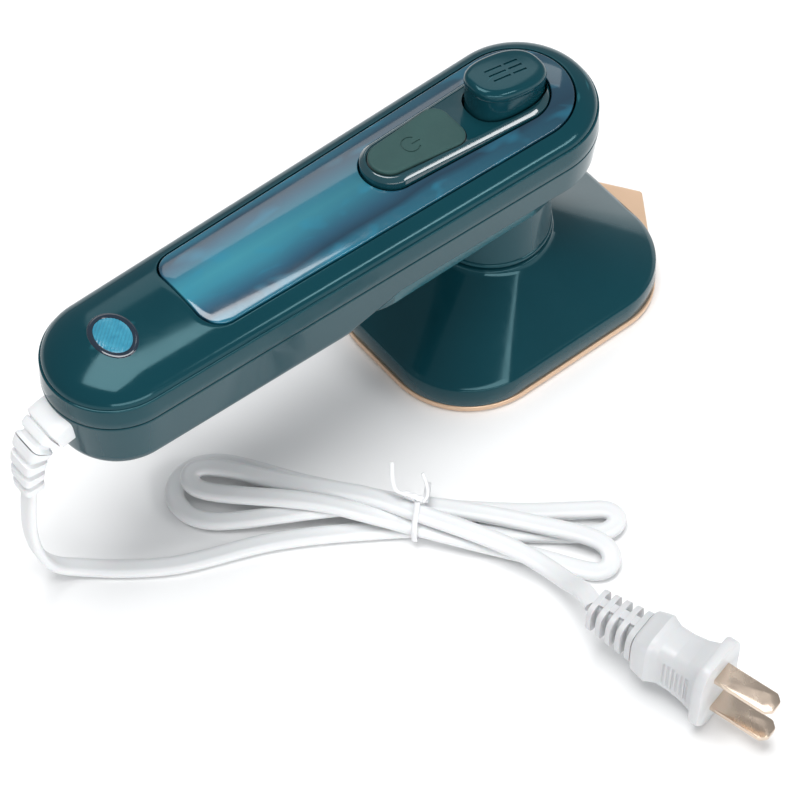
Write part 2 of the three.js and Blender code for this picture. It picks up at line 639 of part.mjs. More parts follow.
// ---- Swivel neck ----
const collarTop = KEEL_BOTTOM_Z - GAP;
const hollowBottom = NECK_BOTTOM_Z + BEARING_HEIGHT;
const hollowTop = SPIGOT_TOP_Z - BEARING_HEIGHT;
const collar = cylinder(NECK_R, NECK_BOTTOM_Z, collarTop, 0, 0, 40)
  .add(cylinder(SPIGOT_R, collarTop - 1, SPIGOT_TOP_Z, 0, 0, 32))
  .subtract(cylinder(SPIGOT_R - WALL, hollowBottom, hollowTop, 0, 0, 32))
  .subtract(cylinder(STEM_R + GAP, 0, SPIGOT_TOP_Z + 5, 0, 0, 32));
put(handle, 'neck_collar', collar, tealGloss);

const WASHER_Z = SPIGOT_TOP_Z + GAP;
put(handle, 'swivel_washer', tube(STEM_R + GAP, CLIP_OUTER_R, WASHER_Z, WASHER_Z + WASHER_HEIGHT), nylon);

const CLIP_Z = WASHER_Z + WASHER_HEIGHT + GAP;
const stemFlangeTop = COVER_TOP_Z - WALL - GAP;
const stem = cylinder(STEM_R, stemFlangeTop - STEM_FLANGE_HEIGHT, STEM_TOP_Z, 0, 0, 32)
  .add(cylinder(STEM_FLANGE_R, stemFlangeTop - STEM_FLANGE_HEIGHT, stemFlangeTop, 0, 0, 32))
  .subtract(tube(CLIP_GROOVE_R, STEM_R + 1, CLIP_Z - GAP, CLIP_Z + CLIP_HEIGHT + GAP))
  .subtract(cylinder(STEM_BORE_R, 0, STEM_TOP_Z + 1, 0, 0, 24));
put(head, 'swivel_stem', stem, steel);

const CLIP_MOUTH = 3.0;
const clip = tube(CLIP_GROOVE_R + GAP, CLIP_OUTER_R, CLIP_Z, CLIP_Z + CLIP_HEIGHT).subtract(
  box([0, -CLIP_MOUTH, CLIP_Z - 1], [CLIP_OUTER_R + 1, CLIP_MOUTH, CLIP_Z + 3]),
);
put(head, 'swivel_clip', clip, steel);

// ---- Water tubes and mains wires inside the handle ----
const FEED_R = 2.0;
const feedStart = TANK_BOTTOM_Z - NIPPLE_LENGTH - GAP;
const feedPoints = [
  [NIPPLE_X, 0, feedStart],
  [NIPPLE_X + 0.2, 0, feedStart - 1.2],
  [NIPPLE_X + 1.2, 0, feedStart - 2.6],
  [NIPPLE_X + 4.0, 0, feedStart - 2.9],
  [NIPPLE_X + 8.5, 0, feedStart - 1.0],
  [NIPPLE_X + 15, 0, feedStart + 1.4],
  [NIPPLE_X + 26, 0, feedStart + 4.5],
  [nozzleX - 8, 0, PUMP_NOZZLE_Z],
  [nozzleX - GAP, 0, PUMP_NOZZLE_Z],
];
put(handle, 'water_feed_tube', rod(feedPoints, FEED_R, 8, 24), nylon);
const outletTube = cylinder(1.9, INLET_TOP_Z + GAP, PUMP_BOTTOM_Z - GAP, 0, 0, 10);
put(handle, 'pump_outlet_tube', outletTube, nylon);

const WIRE_Z = (STEM_TOP_Z + PUMP_BOTTOM_Z) / 2;
const WIRE_START_X = HANDLE_REAR_X + 21;
const wirePoints = (sign) => [
  [WIRE_START_X, sign * 2.2, 57.6],
  [HANDLE_SCREW_X + BOSS_R + 3.4, sign * 3, 57],
  [-91, sign * 7.8, 57],
  [-66, sign * 8.5, 57],
  [-48, sign * 8.5, 59.2],
  [-30, sign * 8.0, 62.4],
  [-15, sign * WIRE_SPREAD, WIRE_Z],
  [-3.5, sign * WIRE_SPREAD, WIRE_Z],
  [0, sign * WIRE_SPREAD, WIRE_Z - 3],
  [0, sign * WIRE_SPREAD, INLET_TOP_Z + 4],
];
put(handle, 'wire_live', rod(wirePoints(1), WIRE_R, 6, 40), wireRed);
put(handle, 'wire_neutral', rod(wirePoints(-1), WIRE_R, 6, 40), wireBlue);

// ---- Indicator ----
const lensFloor = CREST_Z - LENS_DEPTH - 1;
const lensDome = domeSolid(0, 40, 0);
const lens = oval(LENS_HALF_LENGTH, LENS_HALF_WIDTH, lensFloor, CREST_Z + 2, LENS_X)
  .intersect(lensDome)
  .subtract(oval(LENS_HALF_LENGTH - LENS_RIM, LENS_HALF_WIDTH - LENS_RIM, 60, lensFloor + 2, LENS_X));
put(handle, 'indicator_lens', lens, cyanLens);
const LED_BOARD_Z = SEAM_Z - 1.5;
const ledBoardSide = taperSide(LENS_X - 8, LENS_X + 7, 7, 7, 1.5, 1.5, 2);
const ledBoard = prism(ledBoardSide, LED_BOARD_Z, LED_BOARD_Z + BOARD_THICKNESS);
put(handle, 'indicator_board', ledBoard, boardGreen);
const ledFoot = LED_BOARD_Z + BOARD_THICKNESS + GAP;
const ledProfile = [[0, 0], [LED_R, 0], [LED_R, 4], [LED_R * 0.8, 5.4], [LED_R * 0.4, 6.1], [0, 6.3]];
const ledGeometry = new THREE.LatheGeometry(ledProfile.map(([r, z]) => new THREE.Vector2(r, z)), 12);
ledGeometry.rotateX(Math.PI / 2);
ledGeometry.translate(LENS_X, 0, ledFoot);
put(handle, 'indicator_led', solid(ledGeometry), cyanLens);

// ---- Handle screws ----
for (const [i, y] of [HANDLE_SCREW_Y, -HANDLE_SCREW_Y].entries()) {
  const seat = SCREW_SEAT_Z - GAP;
  const screw = cylinder(SCREW_HEAD_R, seat - SCREW_HEAD_HEIGHT, seat, HANDLE_SCREW_X, y, 12).add(
    cylinder(SCREW_SHANK_R, seat - 1, SEAM_Z + 4, HANDLE_SCREW_X, y, 8),
  );
  put(handle, `handle_screw_${i + 1}`, screw, steel);
}

// ---- Head: sole outline with a pointed nose ----
function soleSide(inset) {
  const x0 = SOLE_REAR_X + inset;
  const half = SOLE_HALF_WIDTH - inset;
  const rearR = SOLE_REAR_CORNER_R - inset;
  const shoulderR = SOLE_SHOULDER_R - inset;
  const slopeLength = Math.hypot(1, NOSE_SLOPE);
  const tip = SOLE_TIP_X - inset * slopeLength;
  const shoulderX = tip - NOSE_SLOPE * (half - shoulderR) - shoulderR * slopeLength;
  const side = [[x0, 0]];
  for (let i = 0; i <= ARC_STEPS; i += 1) {
    const angle = Math.PI + (Math.PI / 2) * (i / ARC_STEPS);
    side.push([x0 + rearR + rearR * Math.cos(angle), -(half - rearR) + rearR * Math.sin(angle)]);
  }
  const turn = Math.PI / 2 - Math.atan(NOSE_SLOPE);
  for (let i = 0; i <= ARC_STEPS; i += 1) {
    const angle = -Math.PI / 2 + turn * (i / ARC_STEPS);
    side.push([shoulderX + shoulderR * Math.cos(angle), -(half - shoulderR) + shoulderR * Math.sin(angle)]);
  }
  side.push([tip, 0]);
  return side;
}

const coverSide = (inset) => {
  const half = SOLE_HALF_WIDTH - COVER_INSET - inset;
  const corner = COVER_CORNER_R - inset;
  return taperSide(SOLE_REAR_X + COVER_INSET + inset, COVER_FRONT_X - inset, half, half, corner, corner, 4);
};

// Steam holes: an arc of holes behind the nose and a row along each side.
const steamHoles = [[44, 0]];
for (const side of [1, -1]) {
  steamHoles.push([37, 9 * side]);
  steamHoles.push([28, 17 * side]);
}
for (const x of [15, 2, -11, -23]) {
  steamHoles.push([x, 21]);
  steamHoles.push([x, -21]);
}
let sole = prism(soleSide(0), 0, SOLE_THICKNESS);
for (const [x, y] of steamHoles) {
  sole = sole.subtract(cylinder(STEAM_HOLE_R, -1, SOLE_THICKNESS + 1, x, y, 8));
}
put(head, 'soleplate', sole, roseGold);

// ---- Head: cast heater block with its steam chamber ----
const blockBottom = SOLE_THICKNESS + GAP;
const blockTop = blockBottom + BLOCK_HEIGHT;
const blockLimit = prism(coverSide(BLOCK_INSET / 2 + 1), 0, 50);
let block = prism(soleSide(BLOCK_INSET), blockBottom, blockTop).intersect(blockLimit);
const lidSide = (inset) => {
  const margin = ELEMENT_R + LID_MARGIN + inset;
  const rear = ELEMENT_HALF_WIDTH - margin;
  const nose = ELEMENT_NOSE_R - margin;
  return taperSide(ELEMENT_REAR_X + margin, ELEMENT_FRONT_X - margin, rear, nose, rear / 2, nose);
};
block = block.subtract(prism(lidSide(CHAMBER_RIM), blockTop - CHAMBER_DEPTH, blockTop + 1));
const elementSide = taperSide(
  ELEMENT_REAR_X,
  ELEMENT_FRONT_X,
  ELEMENT_HALF_WIDTH,
  ELEMENT_NOSE_R,
  ELEMENT_HALF_WIDTH / 2,
  ELEMENT_NOSE_R,
);
const elementRun = elementSide.slice(3).map(([x, y]) => [x, y, blockTop]);
const elementBack = elementSide.slice(3, -1).reverse().map(([x, y]) => [x, -y, blockTop]);
const elementPath = [...elementRun, ...elementBack].filter(([x, y], i, all) => {
  const before = all[Math.max(i - 1, 0)];
  return i === 0 || Math.hypot(x - before[0], y - before[1]) > SAME_POINT;
});
block = block.subtract(solid(rod(elementPath, ELEMENT_R + GAP, 8, 60)));
for (const [x, y] of HEAD_SCREW_PLACES) {
  block = block
    .subtract(cylinder(SCREW_SHANK_R + GAP, 0, blockTop + 1, x, y, 10))
    .subtract(cylinder(SCREW_HEAD_R + GAP, 0, blockBottom + SCREW_HEAD_HEIGHT + GAP, x, y, 12));
}
put(head, 'heater_block', block, castMetal);

const lid = prism(lidSide(0), blockTop + GAP, blockTop + GAP + LID_THICKNESS)
  .add(cylinder(INLET_R, blockTop + GAP, INLET_TOP_Z, 0, 0, 16))
  .subtract(cylinder(INLET_R / 2, 0, INLET_TOP_Z + 1, 0, 0, 8));
put(head, 'steam_chamber_lid', lid, castMetal);

put(head, 'heating_element', rod(elementPath, ELEMENT_R, 8, 60), steel);

const lidTop = blockTop + GAP + LID_THICKNESS;
const THERMOSTAT_X = -13;
const FUSE_X = 14;
const thermostatTop = lidTop + GAP + THERMOSTAT_HEIGHT;
put(head, 'thermostat', cylinder(THERMOSTAT_R, lidTop + GAP, thermostatTop, THERMOSTAT_X, 0, 20), steel);
const fuseGeometry = new THREE.CylinderGeometry(FUSE_R, FUSE_R, FUSE_LENGTH, 12);
fuseGeometry.translate(FUSE_X, 0, lidTop + GAP + FUSE_R);
put(head, 'thermal_fuse', solid(fuseGeometry), nylon);

// ---- Head cover: an upright rim, then flat slopes that gather into the round neck ----
const rimBottom = SOLE_THICKNESS + GAP;
const rimTop = rimBottom + COVER_RIM_HEIGHT;
const roundTop = (radius) => taperSide(-radius, radius, radius, radius, radius, radius, 4);
const coverOuter = loft([
  atHeight(coverSide(0), rimBottom),
  atHeight(coverSide(COVER_RIM_DRAFT), rimTop),
  atHeight(roundTop(COVER_TOP_R), COVER_TOP_Z - 1),
  atHeight(roundTop(COVER_TOP_R - 0.6), COVER_TOP_Z),
]);
const coverInner = loft([
  atHeight(coverSide(WALL), rimBottom - 1),
  atHeight(coverSide(WALL), rimTop - WALL / 2),
  atHeight(roundTop(COVER_TOP_R - WALL), COVER_TOP_Z - WALL),
]);
let cover = coverOuter.subtract(coverInner);

// The shield follows the cover's inner wall at the height of its own top face.
const shieldTop = SHIELD_Z + SHIELD_THICKNESS;
const wallFoot = rimTop - WALL / 2;
const shieldShare = (shieldTop - wallFoot) / (COVER_TOP_Z - WALL - wallFoot);
const shieldRound = roundTop(COVER_TOP_R - WALL - SHIELD_CLEARANCE);
const shieldSide = coverSide(WALL + SHIELD_CLEARANCE).map(([x, y], i) => {
  const [roundX, roundY] = shieldRound[i];
  return [x + (roundX - x) * shieldShare, y + (roundY - y) * shieldShare];
});
let shield = prism(shieldSide, SHIELD_Z, shieldTop).subtract(cylinder(STEM_FLANGE_R / 2, 0, 50, 0, 0, 20));
for (const [x, y] of SHIELD_LEG_PLACES) {
  shield = shield.add(cylinder(SHIELD_LEG_R, lidTop + GAP, SHIELD_Z + SHIELD_THICKNESS / 2, x, y, 10));
}
put(head, 'heat_shield', shield, phenolic);

for (const [x, y] of HEAD_SCREW_PLACES) {
  cover = cover.add(cylinder(BOSS_R, blockTop + GAP, 60, x, y, 16).intersect(coverOuter));
  cover = cover.subtract(cylinder(SCREW_SHANK_R + GAP, 0, blockTop + 6, x, y, 10));
}
cover = cover.subtract(cylinder(STEM_R + GAP, 0, 60, 0, 0, 32));
put(head, 'head_cover', cover, tealGloss);

for (const [i, [x, y]] of HEAD_SCREW_PLACES.entries()) {
  const seat = blockBottom + SCREW_HEAD_HEIGHT;
  const screw = cylinder(SCREW_HEAD_R, seat - SCREW_HEAD_HEIGHT, seat, x, y, 12).add(
    cylinder(SCREW_SHANK_R, seat - 1, blockTop + 5, x, y, 8),
  );
  put(head, `head_screw_${i + 1}`, screw, steel);
}

// ---- Cord relief at the handle's rear end ----
// A box section that follows a path in the XZ plane and narrows towards its end.
function bentTaper(path, halfWidths, halfHeights) {
  const positions = [];
  const index = [];
  path.forEach(([x, z], i) => {
    const before = path[Math.max(i - 1, 0)];
    const after = path[Math.min(i + 1, path.length - 1)];
    const length = Math.hypot(after[0] - before[0], after[1] - before[1]);
    const normal = [-(after[1] - before[1]) / length, (after[0] - before[0]) / length];
    for (const [side, up] of [[-1, -1], [1, -1], [1, 1], [-1, 1]]) {
      const reach = up * halfHeights[i];
      positions.push(x + normal[0] * reach, side * halfWidths[i], z + normal[1] * reach);
    }
  });
  for (let i = 0; i + 1 < path.length; i += 1) {
    for (let j = 0; j < 4; j += 1) {
      const a = 4 * i + j;
      const b = 4 * i + ((j + 1) % 4);
      index.push(a, b, b + 4, a, b + 4, a + 4);
    }
  }
  const end = 4 * (path.length - 1);
  index.push(0, 2, 1, 0, 3, 2, end, end + 1, end + 2, end, end + 2, end + 3);
  const geometry = new THREE.BufferGeometry();
  geometry.setAttribute('position', new THREE.Float32BufferAttribute(positions, 3));
  geometry.setIndex(index);
  return solid(geometry);
}

const RELIEF_HALF_HEIGHT = 3.9;
const reliefWidths = [RELIEF_HALF_WIDTH, RELIEF_HALF_WIDTH - 0.4, 5.0, 4.4, RELIEF_END_HALF];
const reliefHeights = [RELIEF_HALF_HEIGHT, RELIEF_HALF_HEIGHT - 0.2, 3.5, 3.2, RELIEF_END_HALF];
const reliefRoot = box(
  [HANDLE_REAR_X - 1.6, -RELIEF_HALF_WIDTH, RELIEF_PATH[0][1] - 4],
  [HANDLE_REAR_X + 4.5, RELIEF_HALF_WIDTH, RELIEF_PATH[0][1] + 4],
);
const relief = bentTaper(RELIEF_PATH, reliefWidths, reliefHeights).add(reliefRoot);
put(lead, 'cord_relief', relief, whitePvc);

const CLAMP_X = HANDLE_REAR_X + 13;
const clampFloor = SEAM_Z - BELLY_REAR_DEPTH + WALL + 2 * GAP;
const clamp = box([CLAMP_X - 2, -6.5, clampFloor], [CLAMP_X + 4, 6.5, 61.5]).subtract(
  box([CLAMP_X - 5, -RELIEF_END_HALF, 57], [CLAMP_X + 5, RELIEF_END_HALF, 59.7]),
);
put(handle, 'cord_clamp', clamp, nylon);

// ---- Free cord: a tube to the hank, the hank, and a tube to the plug ----
put(lead, 'cord_lead', rod(LEAD_POINTS, CORD_R, CORD_SIDES, 32), whitePvc);
put(lead, 'cord_plug_end', rod(PLUG_POINTS, CORD_R, CORD_SIDES, 10), whitePvc);

const hankRun = [HANK_RIGHT[0] - HANK_LEFT[0], HANK_RIGHT[1] - HANK_LEFT[1]];
const hankLength = Math.hypot(...hankRun);
const hankAngle = Math.atan2(hankRun[1], hankRun[0]);
const hankSide = taperSide(
  -HANK_LEFT_HALF,
  hankLength + HANK_RIGHT_HALF,
  HANK_LEFT_HALF,
  HANK_RIGHT_HALF,
  HANK_LEFT_HALF,
  HANK_RIGHT_HALF,
  2,
);
const placeOnHank = (shape) =>
  shape.rotate([0, 0, THREE.MathUtils.radToDeg(hankAngle)]).translate([HANK_LEFT[0], HANK_LEFT[1], 0]);
put(lead, 'cord_hank', placeOnHank(prism(hankSide, HANK_BOTTOM_Z, HANK_TOP_Z)), whitePvc);
const tieMiddle = hankLength * TIE_PLACE;
const tieReach = HANK_RIGHT_HALF;
const tieInside = box(
  [tieMiddle - TIE_WIDTH, -tieReach, HANK_BOTTOM_Z - GAP],
  [tieMiddle + TIE_WIDTH, tieReach, HANK_TOP_Z + GAP],
);
const tie = box(
  [tieMiddle - TIE_WIDTH / 2, -tieReach - TIE_THICKNESS, HANK_BOTTOM_Z - GAP - TIE_THICKNESS],
  [tieMiddle + TIE_WIDTH / 2, tieReach + TIE_THICKNESS, HANK_TOP_Z + GAP + TIE_THICKNESS],
).subtract(tieInside);
put(lead, 'twist_tie', placeOnHank(tie), whitePvc);

// ---- Plug: relief, body with its flange, and two flat blades one above the other ----
// Its own axis runs along +X here, with the flange's front face at x = 0, and is then turned into place.
const plugRun = FLANGE_THICKNESS + PLUG_BODY_LENGTH;
const turnPlug = (shape) =>
  shape.rotate([0, 0, PLUG_TURN]).translate([PLUG_FLANGE_X, PLUG_FLANGE_Y, FLANGE_HALF_HEIGHT]);
const tailX = -plugRun;
const plugLoft = (stations) => {
  const halves = stations.map(([x, halfWidth, halfHeight]) => {
    const corner = Math.min(halfWidth, halfHeight) * 0.6;
    const side = taperSide(-halfHeight, halfHeight, halfWidth, halfWidth, corner, corner, 2);
    return atHeight(side, x);
  });
  return loft(halves).rotate([0, 90, 0]);
};
const plugBody = plugLoft([
  [tailX, PLUG_NOSE_HALF_WIDTH - 0.6, PLUG_NOSE_HALF_HEIGHT - 1.6],
  [tailX + 5, PLUG_NOSE_HALF_WIDTH + 0.6, PLUG_NOSE_HALF_HEIGHT],
  [-FLANGE_THICKNESS - 6, PLUG_NOSE_HALF_WIDTH, PLUG_NOSE_HALF_HEIGHT + 1],
  [-FLANGE_THICKNESS, PLUG_NOSE_HALF_WIDTH + 0.8, PLUG_NOSE_HALF_HEIGHT + 2],
  [0, PLUG_NOSE_HALF_WIDTH, PLUG_NOSE_HALF_HEIGHT + 2],
]).add(
  plugLoft([
    [-FLANGE_THICKNESS, FLANGE_HALF_WIDTH, FLANGE_HALF_HEIGHT],
    [0, FLANGE_HALF_WIDTH, FLANGE_HALF_HEIGHT],
  ]),
);
const bladeSlot = (sign) =>
  box(
    [-6, -BLADE_WIDTH / 2 - GAP, (sign * BLADE_SPACING) / 2 - BLADE_THICKNESS / 2 - GAP],
    [1, BLADE_WIDTH / 2 + GAP, (sign * BLADE_SPACING) / 2 + BLADE_THICKNESS / 2 + GAP],
  );
put(lead, 'plug_body', turnPlug(plugBody.subtract(bladeSlot(1)).subtract(bladeSlot(-1))), whitePvc);
for (const [i, sign] of [1, -1].entries()) {
  const middle = (sign * BLADE_SPACING) / 2;
  const blade = box(
    [-5, -BLADE_WIDTH / 2, middle - BLADE_THICKNESS / 2],
    [BLADE_LENGTH, BLADE_WIDTH / 2, middle + BLADE_THICKNESS / 2],
  ).subtract(cylinder(BLADE_HOLE_R, middle - 3, middle + 3, BLADE_LENGTH - BLADE_HOLE_BACK, 0, 12));
  put(lead, `plug_blade_${i + 1}`, turnPlug(blade), steel);
}
const plugRelief = plugLoft([
  [tailX - GAP - PLUG_RELIEF_LENGTH, PLUG_RELIEF_END_HALF, PLUG_RELIEF_END_HALF],
  [tailX - GAP, PLUG_RELIEF_HALF, PLUG_RELIEF_HALF],
]);
put(lead, 'plug_relief', turnPlug(plugRelief), whitePvc);

export default iron;
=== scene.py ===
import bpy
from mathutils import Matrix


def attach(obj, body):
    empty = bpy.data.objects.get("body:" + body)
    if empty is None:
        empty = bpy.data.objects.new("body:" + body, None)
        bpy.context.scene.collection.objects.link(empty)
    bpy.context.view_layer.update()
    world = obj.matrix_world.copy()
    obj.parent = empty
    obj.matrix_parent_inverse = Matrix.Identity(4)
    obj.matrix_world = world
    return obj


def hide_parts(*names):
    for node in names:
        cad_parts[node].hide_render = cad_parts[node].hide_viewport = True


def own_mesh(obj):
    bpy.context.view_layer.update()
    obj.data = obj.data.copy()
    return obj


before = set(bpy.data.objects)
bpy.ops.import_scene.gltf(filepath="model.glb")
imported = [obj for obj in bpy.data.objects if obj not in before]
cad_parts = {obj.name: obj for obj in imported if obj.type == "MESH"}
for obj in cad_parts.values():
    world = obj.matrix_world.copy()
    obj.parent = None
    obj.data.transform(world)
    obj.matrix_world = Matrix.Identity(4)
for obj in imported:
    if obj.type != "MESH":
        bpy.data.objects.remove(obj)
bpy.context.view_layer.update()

import math

import bpy
import numpy as np

MM = 0.001

# ---- Camera, floor and light ----
# A long lens looks down on the iron from the cord's side. The floor is pale and plain, and large soft
# panels above and beside the iron draw the broad reflections on its gloss.
camera_data = bpy.data.cameras.new("view")
camera_data.lens = 135.0
camera_data.sensor_width = 36.0
camera_data.clip_end = 20.0
camera = bpy.data.objects.new("view", camera_data)
camera.location = (-0.33651, -0.38070, 0.65010)
camera.rotation_euler = (math.radians(36.0), 0.0, math.radians(-38.8))
bpy.context.scene.collection.objects.link(camera)
bpy.context.scene.camera = camera

floor_mesh = bpy.data.meshes.new("floor")
floor_mesh.from_pydata([(-4, -4, 0), (4, -4, 0), (4, 4, 0), (-4, 4, 0)], [], [(0, 1, 2, 3)])
floor = bpy.data.objects.new("floor", floor_mesh)
floor.location = (0, 0, -0.0002)
bpy.context.scene.collection.objects.link(floor)
floor_paint = bpy.data.materials.new("floor_paint")
floor_paint.use_nodes = True
floor_shader = floor_paint.node_tree.nodes["Principled BSDF"]
floor_shader.inputs["Base Color"].default_value = (0.93, 0.93, 0.93, 1)
floor_shader.inputs["Roughness"].default_value = 0.9
floor_shader.inputs["Specular IOR Level"].default_value = 0.1
floor_mesh.materials.append(floor_paint)

world = bpy.data.worlds.new("studio")
world.use_nodes = True
world.node_tree.nodes["Background"].inputs["Color"].default_value = (0.95, 0.97, 1.0, 1)
world.node_tree.nodes["Background"].inputs["Strength"].default_value = 0.36
bpy.context.scene.world = world
bpy.context.scene.view_settings.view_transform = "Standard"


def light_panel(name, place, aim, size, power):
    """A rectangular soft light at `place`, in metres, turned to face `aim`."""
    panel = bpy.data.lights.new(name, "AREA")
    panel.shape = "RECTANGLE"
    panel.size, panel.size_y = size
    panel.energy = power
    holder = bpy.data.objects.new(name, panel)
    direction = np.array(aim, float) - np.array(place, float)
    flat = math.hypot(direction[0], direction[1])
    holder.rotation_euler = (math.atan2(flat, -direction[2]), 0, math.atan2(-direction[0], direction[1]))
    holder.location = place
    bpy.context.scene.collection.objects.link(holder)


light_panel("overhead", (-0.15, 0.1, 1.5), (-0.1, -0.02, 0.0), (1.1, 0.9), 20.0)
light_panel("far_sheen", (0.55, 0.75, 0.75), (-0.05, 0, 0.05), (0.9, 0.35), 1.2)
light_panel("front_low", (-0.35, -1.05, 0.28), (-0.05, 0, 0.04), (1.1, 0.3), 5.5)
light_panel("right_strip", (0.48, -0.84, 0.58), (-0.02, 0, 0.07), (0.5, 0.15), 2.3)

# ---- Mains cord ----
# Flat two-core cord in white PVC, 0.67 m of it. It drops from the relief to the table, runs under
# the handle into a hank of five passes, and rises from there into the plug.
CORD_WIDTH = 5.2 * MM
CORD_THICKNESS = 2.8 * MM
CORD_ROUTE = np.array([
    (-147, 0, 43), (-148.2, 0, 35), (-148.9, 0.1, 26), (-148.4, 0.1, 17.5),
    (-146.6, -0.2, 10), (-143.4, -1.4, 4.8), (-138.8, -3.6, 2.2), (-133.6, -7.8, 1.5),
    (-127, -13, 1.5), (-119, -18.2, 1.5), (-109.4, -22.3, 1.5), (-101, -25.5, 1.5),
    (-93.6, -28.9, 1.5), (-84.4, -34.2, 1.5), (-74, -41, 1.5), (-62.9, -48.9, 1.5),
    (-52.4, -58.7, 1.5), (-37.2, -71.7, 1.5), (-30, -77.6, 1.7), (-25.4, -80.2, 2),
    (-21.4, -79.2, 2.3), (-21.6, -75.2, 2.3), (-28.6, -69.6, 1.9), (-38.9, -61.6, 1.6),
    (-50, -51.7, 1.5), (-58.4, -43.4, 1.5), (-67, -32.6, 1.5), (-78.4, -17.6, 1.5),
    (-85, -7.2, 1.5), (-90.6, 0.2, 1.5), (-96.6, 3.6, 1.5), (-102.6, 3, 1.5),
    (-106.9, -1.2, 1.5), (-107.4, -7, 1.6), (-104.6, -12.6, 1.9), (-98.6, -17.6, 2.4),
    (-91.5, -22.4, 3.2), (-83.4, -27.6, 4), (-72, -34.9, 4.3), (-59.3, -44.8, 4.3),
    (-48, -57.5, 4.3), (-38.6, -69.6, 4.2), (-31.9, -78.5, 3.8), (-29.4, -84, 2.8),
    (-31.4, -88.2, 2), (-35.4, -88.2, 1.6), (-39, -83.9, 1.5), (-43.6, -76.6, 1.5),
    (-49, -69.2, 1.8), (-55.5, -61.4, 3.2), (-64.2, -49.8, 4.3), (-71.6, -40.2, 5.6),
    (-79, -30.6, 6.6), (-85.8, -22.8, 6.4), (-92.3, -15.4, 5.2), (-98, -9, 4.4),
    (-101.6, -4, 4.3), (-101.2, 0.2, 4.3), (-97, 0.9, 4.3), (-91.4, -4.6, 4.3),
    (-83.6, -15.6, 4.4), (-75.6, -26.4, 5.8), (-69, -36, 7.1), (-62.6, -47.9, 7.2),
    (-57.6, -56.6, 6.9), (-52.6, -65.4, 6.2), (-48.6, -74, 5.6), (-46.8, -82, 6),
    (-46.5, -88.6, 8), (-47.2, -94.4, 12), (-48.6, -100.1, 13.5)]) * MM


def curve_through(points, step):
    """Catmull-Rom curve through the points, then resampled so its points lie `step` apart."""
    p = np.asarray(points, float)
    ends = np.vstack([2 * p[0] - p[1], p, 2 * p[-1] - p[-2]])
    a, b, c, d = (ends[i:len(ends) - 3 + i, None] for i in range(4))
    t = np.linspace(0, 1, 24, endpoint=False)[None, :, None]
    fine = b + 0.5 * ((c - a) * t + (2 * a - 5 * b + 4 * c - d) * t**2 + (3 * b - a - 3 * c + d) * t**3)
    fine = np.vstack([fine.reshape(-1, p.shape[1]), p[-1:]])
    run = np.r_[0, np.cumsum(np.linalg.norm(np.diff(fine, axis=0), axis=1))]
    even = np.linspace(0, run[-1], int(run[-1] / step) + 1)
    return np.stack([np.interp(even, run, fine[:, k]) for k in range(p.shape[1])], 1)


def unit(v):
    return v / np.linalg.norm(v, axis=-1, keepdims=True)


def swept(path, section, lift):
    """A section carried along a path: across = path direction x lift, up = across x path direction.
    `section` is (points, 2) or (path points, points, 2), in metres across and up; `lift` is one
    direction or one for each path point."""
    along = unit(np.gradient(path, axis=0))
    across = unit(np.cross(along, lift))
    up = np.cross(across, along)
    section = np.broadcast_to(section, (len(path),) + np.shape(section)[-2:])
    grid = path[:, None] + section[..., :1] * across[:, None] + section[..., 1:] * up[:, None]
    return grid[:, ::-1]


CREASE = math.radians(38)


def surface(name, grid, body, paint, loop=False):
    """A smooth mesh piece from a (rows, columns, 3) grid in metres, creased where it turns sharply. Its
    quads join neighbouring rows and columns, and the last column joins the first. Flat faces close the
    first and last rows, or with `loop` the last row joins the first."""
    rows, columns = grid.shape[:2]
    index = np.arange(rows * columns).reshape(rows, columns)
    ends = [] if loop else [index[0, ::-1].tolist(), index[-1].tolist()]
    index = np.hstack([index, index[:, :1]])
    if loop:
        index = np.vstack([index, index[:1]])
    quads = np.stack([index[:-1, :-1], index[:-1, 1:], index[1:, 1:], index[1:, :-1]], -1).reshape(-1, 4)
    mesh = bpy.data.meshes.new(name)
    mesh.from_pydata(grid.reshape(-1, 3).tolist(), [], quads.tolist() + ends)
    mesh.update()
    mesh.polygons.foreach_set("use_smooth", np.ones(len(mesh.polygons), bool))
    mesh.set_sharp_from_angle(angle=CREASE)
    mesh.materials.append(paint)
    obj = bpy.data.objects.new(name, mesh)
    bpy.context.scene.collection.objects.link(obj)
    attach(obj, body)
    return obj


def tone(red, green, blue):
    """An sRGB colour, 0 to 255, as the linear colour the shader takes."""
    c = np.array([red, green, blue]) / 255.0
    return (*np.where(c <= 0.04045, c / 12.92, ((c + 0.055) / 1.055) ** 2.4), 1.0)


def node(tree, kind, inputs=(), **settings):
    """A shader node with its settings, and each of its (name, value or socket) inputs set or linked."""
    made = tree.nodes.new(kind)
    for label, value in settings.items():
        setattr(made, label, value)
    for label, value in inputs:
        if isinstance(value, bpy.types.NodeSocket):
            tree.links.new(value, made.inputs[label])
        else:
            made.inputs[label].default_value = value
    return made


